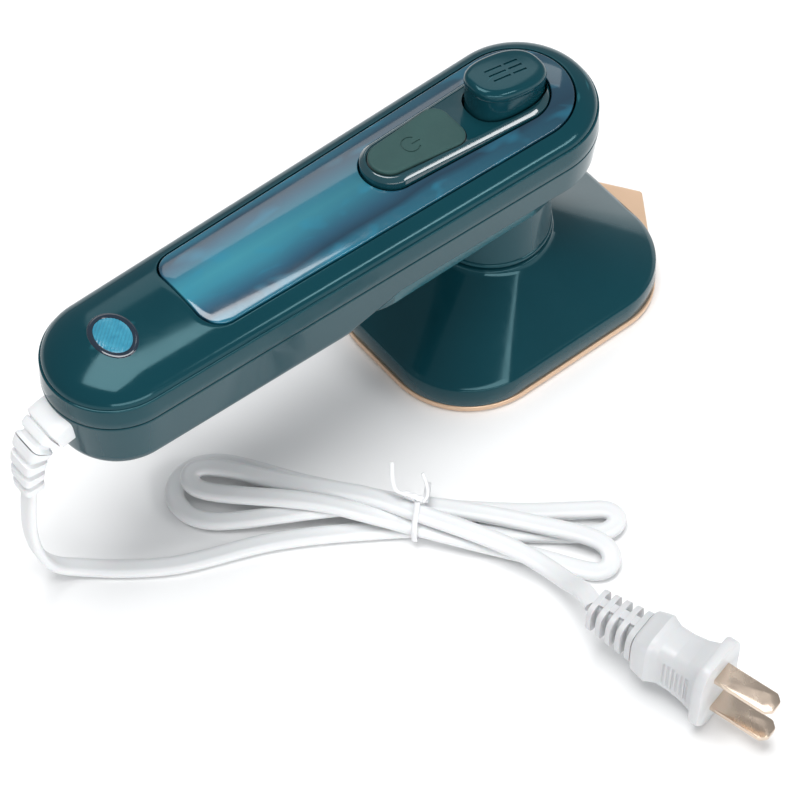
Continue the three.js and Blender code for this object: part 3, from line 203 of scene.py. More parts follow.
# The surface effect that every finish shares: broad drifting patches, wiped smudges and a fine grain.
surface_life = bpy.data.node_groups.new("surface_life", "ShaderNodeTree")
LIFE = (("Patch Scale", "Patches", 30.0, 3.0, 0.4), ("Smudge Scale", "Smudges", 120.0, 5.0, 1.4),
        ("Grain Scale", "Grain", 4000.0, 2.0, 0.0))  # input, output, scale, detail, distortion
for label, target, scale, detail, warp in LIFE:
    socket = surface_life.interface.new_socket(label, in_out="INPUT", socket_type="NodeSocketFloat")
    socket.default_value = scale
    surface_life.interface.new_socket(target, in_out="OUTPUT", socket_type="NodeSocketFloat")
life_in, life_out = node(surface_life, "NodeGroupInput"), node(surface_life, "NodeGroupOutput")
life_place = node(surface_life, "ShaderNodeTexCoord")
for label, target, scale, detail, warp in LIFE:
    noise = node(surface_life, "ShaderNodeTexNoise", (
        ("Vector", life_place.outputs["Object"]), ("Scale", life_in.outputs[label]), ("Detail", detail),
        ("Distortion", warp)))
    surface_life.links.new(noise.outputs["Fac"], life_out.inputs[target])


def finish(name, light, dark, rough, scales, grain, grain_depth, edge_highlight=None, **sockets):
    """A material whose sRGB colour drifts from `dark` to `light`, whose roughness runs between the two
    values of `rough` with the smudges, and whose grain stands `grain_depth` millimetres high. The edge
    colour is a painted highlight that lightens outer edges to it. Other named sockets are set on the shader
    itself."""
    paint = bpy.data.materials.new(name)
    paint.use_nodes = True
    tree = paint.node_tree
    shader = tree.nodes["Principled BSDF"]
    life = node(tree, "ShaderNodeGroup", zip(("Patch Scale", "Smudge Scale", "Grain Scale"), scales),
                node_tree=surface_life)
    colour = node(tree, "ShaderNodeMix", (("Factor", life.outputs["Patches"]), ("A", tone(*dark)),
                                          ("B", tone(*light))), data_type="RGBA")
    # Painted highlight: outer edges, which pointiness marks, are lightened towards the edge colour as if they
    # caught the light.
    if edge_highlight:
        edge = node(tree, "ShaderNodeNewGeometry")
        share = node(tree, "ShaderNodeMapRange", (("Value", edge.outputs["Pointiness"]), ("From Min", 0.53),
                                                  ("From Max", 0.62), ("To Max", 0.5)))
        colour = node(tree, "ShaderNodeMix", (("Factor", share.outputs["Result"]),
                                              ("A", colour.outputs["Result"]), ("B", tone(*edge_highlight))),
                      data_type="RGBA")
    shine = node(tree, "ShaderNodeMapRange", (("Value", life.outputs["Smudges"]), ("From Min", 0.3),
                                              ("From Max", 0.7), ("To Min", rough[0]), ("To Max", rough[1])))
    bump = node(tree, "ShaderNodeBump", (("Height", life.outputs["Grain"]), ("Strength", grain),
                                         ("Distance", grain_depth * MM)))
    for label, source in (("Base Color", colour.outputs["Result"]), ("Roughness", shine.outputs["Result"]),
                          ("Normal", bump.outputs["Normal"])):
        tree.links.new(source, shader.inputs[label])
    for label, value in sockets.items():
        shader.inputs[label.replace("_", " ")].default_value = value
    return paint


cord_pvc = finish("cord_pvc", (232, 233, 234), (220, 222, 223), (0.34, 0.5), (18, 260, 2600), 0.12, 0.05,
                  Subsurface_Weight=0.08, Subsurface_Scale=0.002)
cord_path = curve_through(CORD_ROUTE, 1.2 * MM)
for _ in range(3):
    cord_path[1:-1] = 0.25 * cord_path[:-2] + 0.5 * cord_path[1:-1] + 0.25 * cord_path[2:]
# Two round cores side by side with a shallow groove between them.
turn = np.linspace(0, 2 * np.pi, 28, endpoint=False)
waist = 1 - 0.16 * np.exp(-(np.cos(turn) / 0.22) ** 2)
cord_section = np.stack([
    CORD_WIDTH / 2 * np.sign(np.cos(turn)) * np.abs(np.cos(turn)) ** 0.8,
    CORD_THICKNESS / 2 * np.sign(np.sin(turn)) * np.abs(np.sin(turn)) ** 0.8 * waist], 1)
hanging = np.clip((cord_path[:, 2] - 3 * MM) / (22 * MM), 0, 1) * (cord_path[:, 0] < -0.12)
cord_lift = unit(np.stack([hanging, 0 * hanging, 1 - hanging], 1))
cord = surface("mains_cord", swept(cord_path, cord_section, cord_lift), "handle", cord_pvc)
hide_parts("cord_lead", "cord_hank", "cord_plug_end")
CORD_PIECES = []

# ---- Cord relief at the handle ----
# A ribbed boot moulded in the same white PVC as the cord. Its collar is trapped in the rear wall of the
# handle, and its ribs get smaller as it bends down towards the cord.
RELIEF_ROUTE = np.array([(-134.6, 0, 62.0), (-138.2, 0, 61.4), (-141.6, 0, 60.0), (-144.4, 0, 57.2),
                         (-146.0, 0, 53.0), (-146.8, 0, 48.2), (-147.0, 0, 42.9)]) * MM


def rounded_loop(half_width, half_height, power, points=56):
    """Superellipse |x/w|^p + |y/h|^p = 1, one closed loop for each row of the widths and heights."""
    angle = np.linspace(0, 2 * np.pi, points, endpoint=False)[None]
    w, h, p = (np.atleast_1d(np.asarray(v, float))[:, None] for v in (half_width, half_height, power))
    c, s = np.cos(angle), np.sin(angle)
    return np.stack(np.broadcast_arrays(w * np.sign(c) * np.abs(c) ** (2 / p),
                                        h * np.sign(s) * np.abs(s) ** (2 / p)), -1)


relief_path = curve_through(RELIEF_ROUTE, 0.2 * MM)
relief_run = np.linspace(0, 1, len(relief_path))
RELIEF_LENGTH, COLLAR_LENGTH, RIB_PITCH = 24.5, 6.0, 4.3
relief_mm = relief_run * RELIEF_LENGTH
# The collar is smooth up to a shallow neck; after it the ribs follow tanh(6 (cos(2 pi x / pitch) + 0.45)).
rib_wave = np.cos(2 * np.pi * (relief_mm - COLLAR_LENGTH - 0.4) / RIB_PITCH)
collar = 1.0 - 0.9 * np.exp(-((relief_mm - COLLAR_LENGTH) / 0.45) ** 4)
relief_rib = np.where(relief_mm < COLLAR_LENGTH, collar, 0.5 + 0.5 * np.tanh(6.0 * (rib_wave + 0.45)))
relief_half = np.interp(relief_mm, [0, 5.6, COLLAR_LENGTH, 12, RELIEF_LENGTH], [5.9, 5.9, 5.2, 4.5, 3.3])
relief_width = relief_half * (0.72 + 0.28 * relief_rib)
relief_height = np.interp(relief_mm, [0, 5.6, COLLAR_LENGTH, RELIEF_LENGTH], [4.1, 4.1, 3.6, 2.9])
relief_height = relief_height * (0.76 + 0.24 * relief_rib)
relief_lift = unit(np.stack([0.5 + 0 * relief_run, 0 * relief_run, 1.0 - relief_run * 0.99], 1))
relief_section = rounded_loop(relief_width * MM, relief_height * MM, 5.0)
cord_relief = surface("cord_relief_boot", swept(relief_path, relief_section, relief_lift), "handle", cord_pvc)
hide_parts("cord_relief")
CORD_PIECES.append(cord_relief)

# ---- Twist tie ----
# A paper-covered wire wrapped once round the hank, its two ends twisted together and splayed.
TIE_MIDDLE = np.array([-60.9, -46.6, 4.4])
TIE_ALONG = unit(np.array([0.66, -0.75, 0.0]))
TIE_ACROSS = np.array([0.75, 0.66, 0.0])
tie_paper = finish("tie_paper", (234, 234, 235), (222, 223, 225), (0.5, 0.7), (60, 500, 6000), 0.3, 0.05)


def tie_wire(name, points, half_width, half_height, lift=(0, 0, 1)):
    """A length of the tie, of oval section, along a smooth curve through points in millimetres from the
    hank's middle."""
    path = curve_through((TIE_MIDDLE + points) * MM, 0.4 * MM)
    section = rounded_loop(half_width * MM, half_height * MM, 2.0, 12)[0]
    wire = surface(name, swept(path, section, lift), "handle", tie_paper)
    CORD_PIECES.append(wire)
    return wire


tie_turn = np.radians(np.linspace(80, 448, 30))
TIE_HALF_WIDTH, TIE_HALF_HEIGHT = 8.1, 4.25
tie_up = TIE_HALF_HEIGHT * np.sign(np.sin(tie_turn)) * np.abs(np.sin(tie_turn)) ** 0.55 + 0.5
tie_loop = TIE_HALF_WIDTH * np.cos(tie_turn)[:, None] * TIE_ACROSS + tie_up[:, None] * np.array([0, 0, 1.0])
tie_loop += np.linspace(-1.0, 1.0, 30)[:, None] * TIE_ALONG
tie_band = tie_wire("tie_band", tie_loop, 0.3, 0.75, TIE_ALONG)
tie_wire("tie_end_long", [(0.4, 0.0, 5.2), (-1.4, 2.4, 6.4), (-3.6, 5.6, 7.2), (-3.0, 8.2, 9.4),
                          (-1.2, 10.6, 12.0)], 0.6, 0.35)
tie_wire("tie_end_short", [(0.2, -0.4, 5.2), (2.0, 0.0, 6.0), (3.6, 2.2, 6.9), (4.0, 4.4, 9.4)], 0.5, 0.35)
knot_turn = np.linspace(0, 6 * np.pi, 60)
knot_run = np.linspace(0, 1, 60)
tie_wire("tie_knot", np.stack([
    0.4 - 3.2 * knot_run + 0.55 * np.cos(knot_turn), 0.2 + 4.2 * knot_run + 0.55 * np.sin(knot_turn),
    5.4 + 1.4 * knot_run + 0.3 * np.sin(knot_turn)], 1), 0.5, 0.4)
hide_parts("twist_tie")

# ---- Plug ----
# A two-blade plug moulded onto the cord in white PVC. It stands on the edge of its flange, with a ribbed
# relief behind, a waisted body with grip ridges, and two plated brass blades in front.
PLUG_FRONT = np.array([-40.1, -136.9, 13.5])
PLUG_WAY = math.radians(-76.2)
plug_forward = np.array([math.cos(PLUG_WAY), math.sin(PLUG_WAY), 0.0])
# The plug's PVC is the cord's white made greyer: painted shade against the strong light that falls where the
# plug lies.
plug_pvc_shaded = finish("plug_pvc_shaded", (208, 209, 210), (198, 200, 202), (0.28, 0.42), (22, 180, 3600), 0.14, 0.06,
                  Subsurface_Weight=0.1, Subsurface_Scale=0.003)


def plug_surface(name, distance, loops):
    """Closed loops in millimetres, one for each distance ahead of the flange's front face along the plug's
    axis, joined into a solid."""
    path = (PLUG_FRONT + distance[:, None] * plug_forward) * MM
    return surface(name, swept(path, loops * MM, (0, 0, 1)), "handle", plug_pvc_shaded)


RIBS_REAR, RIBS_FRONT = -36.9, -22.8
relief_x = np.linspace(RIBS_REAR, RIBS_FRONT, 142)
rib_phase = np.clip((relief_x - RIBS_REAR) / (RIBS_FRONT - RIBS_REAR), 0, 1)
rib = 0.5 + 0.5 * np.tanh(9 * (np.cos(2 * np.pi * (rib_phase * 4.5 - 0.2)) + 0.15))
rib = np.where(rib_phase > 0.97, 1.0, rib)
rib_full = rounded_loop(4.6 + 1.1 * rib_phase, 4.9 + 1.3 * rib_phase, 4.0, 72)
rib_core = rounded_loop(2.3 + 0.5 * rib_phase, 4.0 + 1.2 * rib_phase, 3.0, 72)
rib_angle = np.linspace(0, 2 * np.pi, 72, endpoint=False)
spine = np.exp(-(np.cos(rib_angle) / 0.2) ** 4)[None, :, None]
rib_blend = np.maximum(rib[:, None, None], 0.82 * spine)
plug_relief = plug_surface("plug_relief_ribs", relief_x, rib_core + (rib_full - rib_core) * rib_blend)
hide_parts("plug_relief")

body_x = np.linspace(-22.7, -2.6, 161)
station = [-22.7, -22.4, -21.8, -19.6, -17.8, -16.6, -15, -11, -7, -4.2, -2.6]
body_w = np.interp(body_x, station, [5.2, 6.1, 6.6, 6.9, 6.9, 6.2, 5.7, 5.5, 5.7, 6.3, 6.8])
body_h = np.interp(body_x, station, [6.2, 7.1, 7.6, 8.4, 9.2, 9.0, 8.3, 8.4, 9.2, 10.2, 10.6])
body_loops = rounded_loop(body_w, body_h, np.interp(body_x, [-22.7, -17, -3], [4.2, 4.6, 5.5]), 96)
# Grip ridges stand on both flat sides of the waist.
GRIP_PITCH, GRIP_RISE, GRIP_MIDDLE, GRIP_HALF = 1.35, 0.24, -9.6, 4.0
in_grip = np.abs(body_x - GRIP_MIDDLE) < GRIP_HALF
grip = np.clip(np.cos(2 * np.pi * body_x / GRIP_PITCH) * 3, -1, 1) * in_grip
facing = (np.abs(body_loops[..., 1]) < 4.6) * np.sign(body_loops[..., 0])
body_loops[..., 0] += GRIP_RISE * grip[:, None] * facing
plug_shell = plug_surface("plug_shell", body_x, body_loops)

flange_x = np.array([-3.0, -2.9, -2.5, -0.5, -0.12, 0.0])
flange_in = np.array([0.7, 0.25, 0.0, 0.0, 0.2, 0.6])
flange_corner = np.array([(8.7, -8.2), (8.7, 8.6), (6.2, 13.2), (-6.2, 13.2), (-8.7, 8.6), (-8.7, -8.2),
                          (-4.4, -13.4), (4.4, -13.4)])


def softened(corners, radius, per_corner=8):
    """A polygon with each corner turned into a quadratic curve that starts `radius` away from it."""
    before = unit(np.roll(corners, 1, 0) - corners) * radius
    after = unit(np.roll(corners, -1, 0) - corners) * radius
    t = np.linspace(0, 1, per_corner)[None, :, None]
    curve = (1 - t) ** 2 * (corners + before)[:, None] + 2 * t * (1 - t) * corners[:, None]
    return (curve + t**2 * (corners + after)[:, None]).reshape(-1, 2)


flange_line = softened(flange_corner, 1.8)
flange_loops = flange_line[None] - flange_in[:, None, None] * unit(flange_line)[None]
plug_flange = plug_surface("plug_flange", flange_x, flange_loops)
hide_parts("plug_body")
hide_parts("plug_body")


def cut_out(obj, *cutters):
    """Cuts closed meshes out of a piece and removes them from the scene."""
    for cutter in cutters:
        step = obj.modifiers.new("cut", "BOOLEAN")
        step.operation = "DIFFERENCE"
        step.solver = "EXACT"
        step.object = cutter
    bpy.context.view_layer.update()
    cut = bpy.data.meshes.new_from_object(obj.evaluated_get(bpy.context.evaluated_depsgraph_get()))
    cut.set_sharp_from_angle(angle=math.radians(30))
    obj.modifiers.clear()
    obj.data = cut
    for cutter in cutters:
        bpy.data.objects.remove(cutter)


def cutter(name, grid):
    """A closed solid used only to cut with, from a grid in metres."""
    return surface(name, grid, "handle", plug_pvc_shaded)


plated_brass = finish("plated_brass", (226, 208, 190), (214, 196, 178), (0.2, 0.3),
                      (40, 120, 5000), 0.08, 0.01, Metallic=1.0)
BLADE_HALF, BLADE_APART, BLADE_HOLE_R = 3.17, 12.7, 1.6
blade_line = softened(np.array([(BLADE_HALF, 0.0), (BLADE_HALF, 14.9), (1.6, 16.6), (-1.6, 16.6),
                                (-BLADE_HALF, 14.9), (-BLADE_HALF, 0.0)]), 0.5)
plug_side = np.array([math.sin(PLUG_WAY), -math.cos(PLUG_WAY), 0.0])
upright = np.array([0, 0, 1.0])
edge_in = np.array([0.18, 0.05, 0.0, 0.0, 0.05, 0.18])
edge_z = np.array([-0.75, -0.7, -0.55, 0.55, 0.7, 0.75])
hole_angle = np.linspace(0, 2 * np.pi, 32, endpoint=False)
hole_loop = np.stack([BLADE_HOLE_R * np.cos(hole_angle), 12.2 + BLADE_HOLE_R * np.sin(hole_angle)], 1)
for number, height in ((1, BLADE_APART / 2), (2, -BLADE_APART / 2)):
    loop = blade_line[None] - edge_in[:, None, None] * unit(blade_line - np.array([0, 8.0]))[None]
    grid = (PLUG_FRONT + loop[..., :1] * -plug_side + (loop[..., 1:] - 0.4) * plug_forward
            + (height + edge_z)[:, None, None] * upright) * MM
    blade = surface(f"plug_blade_flat_{number}", grid, "handle", plated_brass)
    hole = (PLUG_FRONT + hole_loop[None, :, :1] * -plug_side + hole_loop[None, :, 1:] * plug_forward
            + (height + np.array([-2.0, 2.0]))[:, None, None] * upright) * MM
    cut_out(blade, cutter("blade_hole", hole))
    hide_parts(f"plug_blade_{number}")
    CORD_PIECES.append(blade)
CORD_PIECES += [plug_relief, plug_shell, plug_flange]

# ---- Upper shell of the handle ----
# Glossy deep teal ABS, injection moulded in one piece: an upright rim, a fine ledge, and a low dome with
# a long opening for the tank. It is screwed to the lower shell from below.
REAR_CENTRE, REAR_R = -119.0, 17.9
FRONT_CENTRE, FRONT_R = 8.4, 20.8
LEDGE_Z, DOME_RISE = 73.7, 6.5
DOME_FOOT = 0.5
HULL_LEAN = math.degrees(math.asin((FRONT_R - REAR_R) / (FRONT_CENTRE - REAR_CENTRE)))
# The teal's outer edges take a painted highlight in a lighter teal.
teal_gloss = finish("teal_gloss", (13, 58, 67), (8, 49, 58), (0.09, 0.15), (26, 150, 5200), 0.05, 0.02,
                    edge_highlight=(40, 98, 108), Specular_IOR_Level=0.36, Specular_Tint=(0.5, 0.92, 1.0, 1.0))


def outline(arcs, straights):
    """A closed anticlockwise line of arcs (centre x, centre y, radius, first and last angle in degrees,
    points), each followed by a straight run of that many points to the next arc."""
    drawn = []
    for centre_x, centre_y, radius, first, last, count in arcs:
        angle = np.radians(np.linspace(first, last, count))
        drawn.append(np.stack([centre_x + radius * np.cos(angle), centre_y + radius * np.sin(angle)], 1))
    line = []
    for i, arc in enumerate(drawn):
        t = np.linspace(0, 1, straights[i] + 2)[1:-1, None]
        line += [arc, arc[-1] * (1 - t) + drawn[(i + 1) % len(drawn)][0] * t]
    return np.vstack(line)


def egg(rear_x, rear_r, front_x, front_r, inset=0.0):
    """The line that wraps a rear and a front circle on the X axis, `inset` inside it, as 226 points."""
    lean = math.degrees(math.asin((front_r - rear_r) / (front_x - rear_x)))
    return outline([(front_x, 0, front_r - inset, -90 - lean, 90 + lean, 49),
                    (rear_x, 0, rear_r - inset, 90 + lean, 270 - lean, 49)], (64, 64))


def handle_line(inset):
    return egg(REAR_CENTRE, REAR_R, FRONT_CENTRE, FRONT_R, inset)


TANK_FRONT_X, TANK_FRONT_R = 6.8, 15.8
TANK_CORNER_X, TANK_CORNER_Y, TANK_CORNER_R = -92.3, 6.9, 6.5


def tank_line(inset):
    """The tank's opening: square at the rear with rounded corners, round at the front."""
    front, rear = TANK_FRONT_R - inset, TANK_CORNER_R - inset
    return outline([(TANK_FRONT_X, 0, front, -90 - HULL_LEAN, 90 + HULL_LEAN, 49),
                    (TANK_CORNER_X, TANK_CORNER_Y, rear, 90 + HULL_LEAN, 180, 17),
                    (TANK_CORNER_X, -TANK_CORNER_Y, rear, 180, 270 - HULL_LEAN, 17)], (64, 15, 64))


def dome(xy):
    """Height of the dome over the handle's outline: ledge + rise x sqrt(1 - c^2), where c is how far the
    point lies out from the spine as a share of the outline's half width there."""
    x, y = xy[..., 0], xy[..., 1]
    share = np.clip((x - REAR_CENTRE) / (FRONT_CENTRE - REAR_CENTRE), 0, 1)
    radius = REAR_R + (FRONT_R - REAR_R) * share - DOME_FOOT
    past = np.where(x < REAR_CENTRE, x - REAR_CENTRE, np.maximum(x - FRONT_CENTRE, 0))
    return LEDGE_Z + DOME_RISE * np.sqrt(np.clip(1 - (np.hypot(past, y) / radius) ** 2, 0, 1))


def raised(line, height):
    """An outline in millimetres lifted to one height or one for each point."""
    return np.concatenate([line, np.broadcast_to(height, len(line))[:, None]], 1)


def levels(line, *steps):
    """A row for each (inset, height): the outline drawn in by that inset and lifted to that height."""
    return [raised(line(inset), height) for inset, height in steps]


def laid_on(top, line, *steps):
    """A row for each (inset, offset): the outline drawn in and laid on the surface `top`, plus the offset."""
    return [raised(line(inset), top(line(inset)) + offset) for inset, offset in steps]


def between(outer, inner, shares, height):
    """Rows that run from one outline to another, lifted to height(xy)."""
    rows = outer[None] + (inner - outer)[None] * np.asarray(shares)[:, None, None]
    return np.concatenate([rows, height(rows)[..., None]], 2)


def stacked(*rows):
    """Single rows and blocks of rows as one grid in metres."""
    return np.concatenate([row[None] if row.ndim == 2 else row for row in rows]) * MM


RIM_PROFILE = [(0.9, 67.3), (-0.12, 67.25), (-0.26, 67.34), (-0.3, 67.5), (-0.2, 69.5), (-0.02, 73.2),
               (0.0, 73.42), (0.06, 73.58), (0.18, 73.68), (0.34, 73.71), (0.46, 73.72)]
dome_shares = np.linspace(0, 1, 44) ** 1.7
upper_shell = surface("upper_shell", stacked(
    *levels(handle_line, *RIM_PROFILE),
    between(handle_line(DOME_FOOT), tank_line(-0.42), dome_shares, dome),
    *laid_on(dome, tank_line, (-0.28, -0.05), (-0.18, -0.18), (-0.15, -0.5), (-0.15, -2.1)),
    between(tank_line(-0.4), handle_line(2.9), np.linspace(0, 1, 12), lambda xy: dome(xy) - 2.3),
    *levels(handle_line, (2.4, 72.0), (2.2, 67.3))), "handle", teal_gloss, loop=True)

# ---- Lower shell of the handle ----
# The deep half of the handle, moulded in the same teal. Its bilge is round at the rear, and towards the
# front the sides end in a crisp skirt round a recessed keel that carries the neck.
FLOOR_REAR_Z, FLOOR_FRONT_Z = 48.5, 57.5
BILGE_REAR_R, BILGE_FRONT_R = 5.2, 0.5
RAMP_X, RAMP_RUN = -61, 16
RIM_LOW_Z, WALL_LEAN, INNER_FLOOR = 66.7, 0.095, 3.4
hull_rim = handle_line(0)
skirt = np.clip((hull_rim[:, 0] - RAMP_X) / RAMP_RUN, 0, 1)
bilge = BILGE_REAR_R + (BILGE_FRONT_R - BILGE_REAR_R) * skirt


def hull_floor(x):
    """Height of the underside: flat at the rear, a straight ramp, flat over the head."""
    return FLOOR_REAR_Z + (FLOOR_FRONT_Z - FLOOR_REAR_Z) * np.clip((x - RAMP_X) / RAMP_RUN, 0, 1)


def hull_row(inset, height):
    """One row of the hull, its inset and height given for each point of the rim."""
    inward = handle_line(1.0) - handle_line(0.0)
    xy = hull_rim + inward * np.broadcast_to(inset, len(hull_rim))[:, None]
    height = hull_floor(xy[:, 0]) if height is None else height
    return raised(xy, height)


wall_foot_z = hull_floor(hull_rim[:, 0]) + bilge
wall_rows = [hull_row(0.9, 66.92), hull_row(-0.12, 66.95), hull_row(-0.26, 66.86), hull_row(-0.3, RIM_LOW_Z)]
for share in (0.04, 0.3, 0.6, 0.95, 1.0):
    drop = (RIM_LOW_Z - wall_foot_z) * share
    wall_rows.append(hull_row(-0.3 + WALL_LEAN * drop, RIM_LOW_Z - drop))
foot_inset = -0.3 + WALL_LEAN * (RIM_LOW_Z - wall_foot_z)
for angle in np.radians(np.linspace(9, 90, 10)):
    wall_rows.append(hull_row(foot_inset + bilge * (1 - math.cos(angle)),
                              wall_foot_z - bilge * math.sin(angle)))
for share in (0.3, 0.65, 0.9, 1.0):
    reach = foot_inset + bilge
    wall_rows.append(hull_row(reach + (17.4 - reach) * share, None))
inner_rows = [hull_row(2.4, 66.92), hull_row(2.6, wall_foot_z + 1.5),
              hull_row(foot_inset + bilge + 1.5, None), hull_row(17.3, None)]
for row in inner_rows[2:]:
    row[:, 2] += INNER_FLOOR
lower_shell = surface("lower_shell", stacked(*wall_rows[::-1], *inner_rows), "handle", teal_gloss)


def disc(centre_x, centre_y, radius, heights, count=40):
    """A round column's grid in metres, for a cutter."""
    angle = np.linspace(0, 2 * np.pi, count, endpoint=False)
    line = np.stack([centre_x + radius * np.cos(angle), centre_y + radius * np.sin(angle)], 1)
    return stacked(*[raised(line, z) for z in heights])


SCREW_X, SCREW_Y, SCREW_SEAT_Z, FILLER_X = -107.5, 8.5, 51.6, -80.0
cut_out(lower_shell, cutter("filler_recess", disc(FILLER_X, 0, 7.3, (40, 50.7))),
        cutter("filler_bore", disc(FILLER_X, 0, 5.6, (45, 60))),
        *[cutter("screw_sink", disc(SCREW_X, side * SCREW_Y, 2.7, (40, SCREW_SEAT_Z))) for side in (1, -1)])
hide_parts("handle_lower_shell")

KEEL_R, KEEL_REAR_X = 16.8, -45.2


def keel_line(inset):
    radius = KEEL_R - inset
    return outline([(0, 0, radius, -90, 90, 49), (KEEL_REAR_X, 0, radius, 90, 270, 49)], (24, 24))


surface("keel", stacked(*levels(keel_line, (3.0, 50.2), (0.5, 50.2), (0.24, 50.25), (0.07, 50.42),
                                (0.0, 50.7), (-0.1, 58.6))), "handle", teal_gloss)

# ---- Neck ----
# A turned-looking collar in teal, glued into the keel. The head turns on it just above its lip.


def lathe(name, profile, body, paint, centre=(0, 0), count=112, loop=False):
    """A profile of (radius, height) in millimetres, turned about an upright axis, low end first."""
    profile = np.asarray(profile, float)
    angle = np.linspace(0, 2 * np.pi, count, endpoint=False)
    grid = np.stack([centre[0] + profile[:, :1] * np.cos(angle), centre[1] + profile[:, :1] * np.sin(angle),
                     np.broadcast_to(profile[:, 1:], (len(profile), count))], 2)
    return surface(name, grid * MM, body, paint, loop)


neck = lathe("neck", [(9.6, 33.1), (16.3, 33.1), (16.62, 33.2), (16.8, 33.45), (16.8, 34.2), (16.66, 34.5),
                      (16.4, 34.7), (16.35, 35.2), (16.35, 49.0), (16.3, 50.1)], "handle", teal_gloss)
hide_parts("neck_collar")

# ---- Water tank ----
# Blow-clear blue polycarbonate. Its top is flush with the dome and carries soft bands of painted light
# and shade in place of what shows through it; the filler neck goes down through the lower shell.
PANEL_REAR, PANEL_REAR_R = -33.8, 7.6
PANEL_FRONT, PANEL_FRONT_R = 5.6, 10.0


def panel_line(inset):
    return egg(PANEL_REAR, PANEL_REAR_R, PANEL_FRONT, PANEL_FRONT_R, inset)


tank_blue = finish("tank_blue", (44, 132, 150), (30, 100, 122), (0.06, 0.13), (22, 140, 5000),
                   0.03, 0.02, Coat_Weight=0.6, Coat_Roughness=0.04)


# Painted light and shade in bands along the tank, from its spine to its edges: a lighter crown where the top
# faces up, a dark band low on each side and a brighter foot, all fading to navy towards the front.
tank_tree = tank_blue.node_tree
place = node(tank_tree, "ShaderNodeTexCoord")
wobble = node(tank_tree, "ShaderNodeTexNoise", (("Vector", place.outputs["Object"]), ("Scale", 34.0)))
split = node(tank_tree, "ShaderNodeSeparateXYZ", (("Vector", place.outputs["Object"]),))
across = node(tank_tree, "ShaderNodeMath", ((0, split.outputs["Y"]),), operation="ABSOLUTE")
drift = node(tank_tree, "ShaderNodeMath", ((0, wobble.outputs["Fac"]), (1, 0.0042),
                                           (2, across.outputs["Value"])), operation="MULTIPLY_ADD")
bands = node(tank_tree, "ShaderNodeMapRange", (("Value", drift.outputs["Value"]), ("From Min", 0.0),
                                               ("From Max", 0.0178)))
painted_shading_ramp = node(tank_tree, "ShaderNodeValToRGB", (("Fac", bands.outputs["Result"]),))
painted_shading_stops = [(0.0, tone(58, 138, 152)), (0.3, tone(46, 122, 142)), (0.55, tone(34, 84, 108)),
              (0.7, tone(18, 52, 72)), (0.8, tone(30, 96, 118)), (1.0, tone(36, 110, 130))]
for share, colour in painted_shading_stops[1:-1]:
    painted_shading_ramp.color_ramp.elements.new(share)
for element, (share, colour) in zip(painted_shading_ramp.color_ramp.elements, painted_shading_stops):
    element.position, element.color = share, colour
length = node(tank_tree, "ShaderNodeMapRange", (("Value", split.outputs["X"]), ("From Min", -0.085),
                                                ("From Max", 0.015), ("To Max", 0.88)))
faded = node(tank_tree, "ShaderNodeMix", (("Factor", length.outputs["Result"]),
                                          ("A", painted_shading_ramp.outputs["Color"]), ("B", tone(16, 50, 68))),
             data_type="RGBA")
# Light that the water gathers into soft drifting spots.
stretch = node(tank_tree, "ShaderNodeMapping", (("Vector", place.outputs["Object"]),
                                                ("Scale", (0.45, 1.0, 1.0))))
spots = node(tank_tree, "ShaderNodeTexNoise", (("Vector", stretch.outputs["Vector"]), ("Scale", 190.0),
                                               ("Detail", 1.0), ("Distortion", 0.6)))
spot_share = node(tank_tree, "ShaderNodeMapRange", (("Value", spots.outputs["Fac"]), ("From Min", 0.56),
                                                    ("From Max", 0.74), ("To Max", 0.42)))
lit = node(tank_tree, "ShaderNodeMix", (("Factor", spot_share.outputs["Result"]),
                                        ("A", faded.outputs["Result"]), ("B", tone(34, 126, 154))),
           data_type="RGBA")
tank_tree.links.new(lit.outputs["Result"], tank_tree.nodes["Principled BSDF"].inputs["Base Color"])

tank_top = surface("tank_top", stacked(
    *laid_on(dome, tank_line, (0.35, -3.0), (0.35, -0.34), (0.4, -0.14), (0.52, -0.03)),
    between(tank_line(0.7), panel_line(-0.55), np.linspace(0, 1, 40), dome),
    *laid_on(dome, panel_line, (-0.42, -0.15), (-0.4, -1.6)),
    between(panel_line(-0.6), tank_line(2.0), np.linspace(0, 1, 10), lambda xy: dome(xy) - 1.7),
    *laid_on(dome, tank_line, (1.9, -3.0))), "handle", tank_blue, loop=True)
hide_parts("water_tank")
lathe("filler_neck", [(4.05, 50.85), (4.2, 50.7), (5.4, 50.7), (5.5, 50.85), (5.5, 63.5), (4.05, 63.5)],
      "handle", tank_blue, (FILLER_X, 0.0), 64, loop=True)

# ---- Control panel ----
# A raised island in glossy teal that holds the power pad and the steam button. Its bevelled rim
# catches the light, and a narrow gap parts it from the tank.
CREST_Z = LEDGE_Z + DOME_RISE


def panel_top(xy):
    """The panel's top plane, 2.6 mm over the crest at its rear and 0.7 mm at its front."""
    return CREST_Z + 2.6 - 1.9 * (xy[..., 0] - PANEL_REAR) / (PANEL_FRONT - PANEL_REAR)


panel_gloss = finish("panel_gloss", (17, 62, 70), (12, 53, 62), (0.07, 0.12), (26, 150, 5200),
                     0.04, 0.02, Coat_Weight=0.8, Coat_Roughness=0.04)
panel = surface("panel", stacked(
    *levels(panel_line, (0.4, CREST_Z - 4.2), (0.0, CREST_Z - 4.2)),
    *laid_on(panel_top, panel_line, (0.0, -1.35), (0.02, -1.2), (0.07, -1.09), (0.16, -0.98), (0.5, -0.64),
             (0.84, -0.3), (0.95, -0.2), (1.08, -0.1), (1.22, -0.03), (1.4, 0.0), (1.55, 0.0), (1.62, -0.05),
             (1.68, -0.2), (3.0, -0.22), (6.8, -0.22))), "handle", panel_gloss)


PAD_FRONT_X, PAD_CORNER_Y, PAD_CORNER_R, PAD_REAR_X, PAD_REAR_R, PAD_LEAN = -16.9, 3.0, 4.0, -34.2, 5.2, 4.0


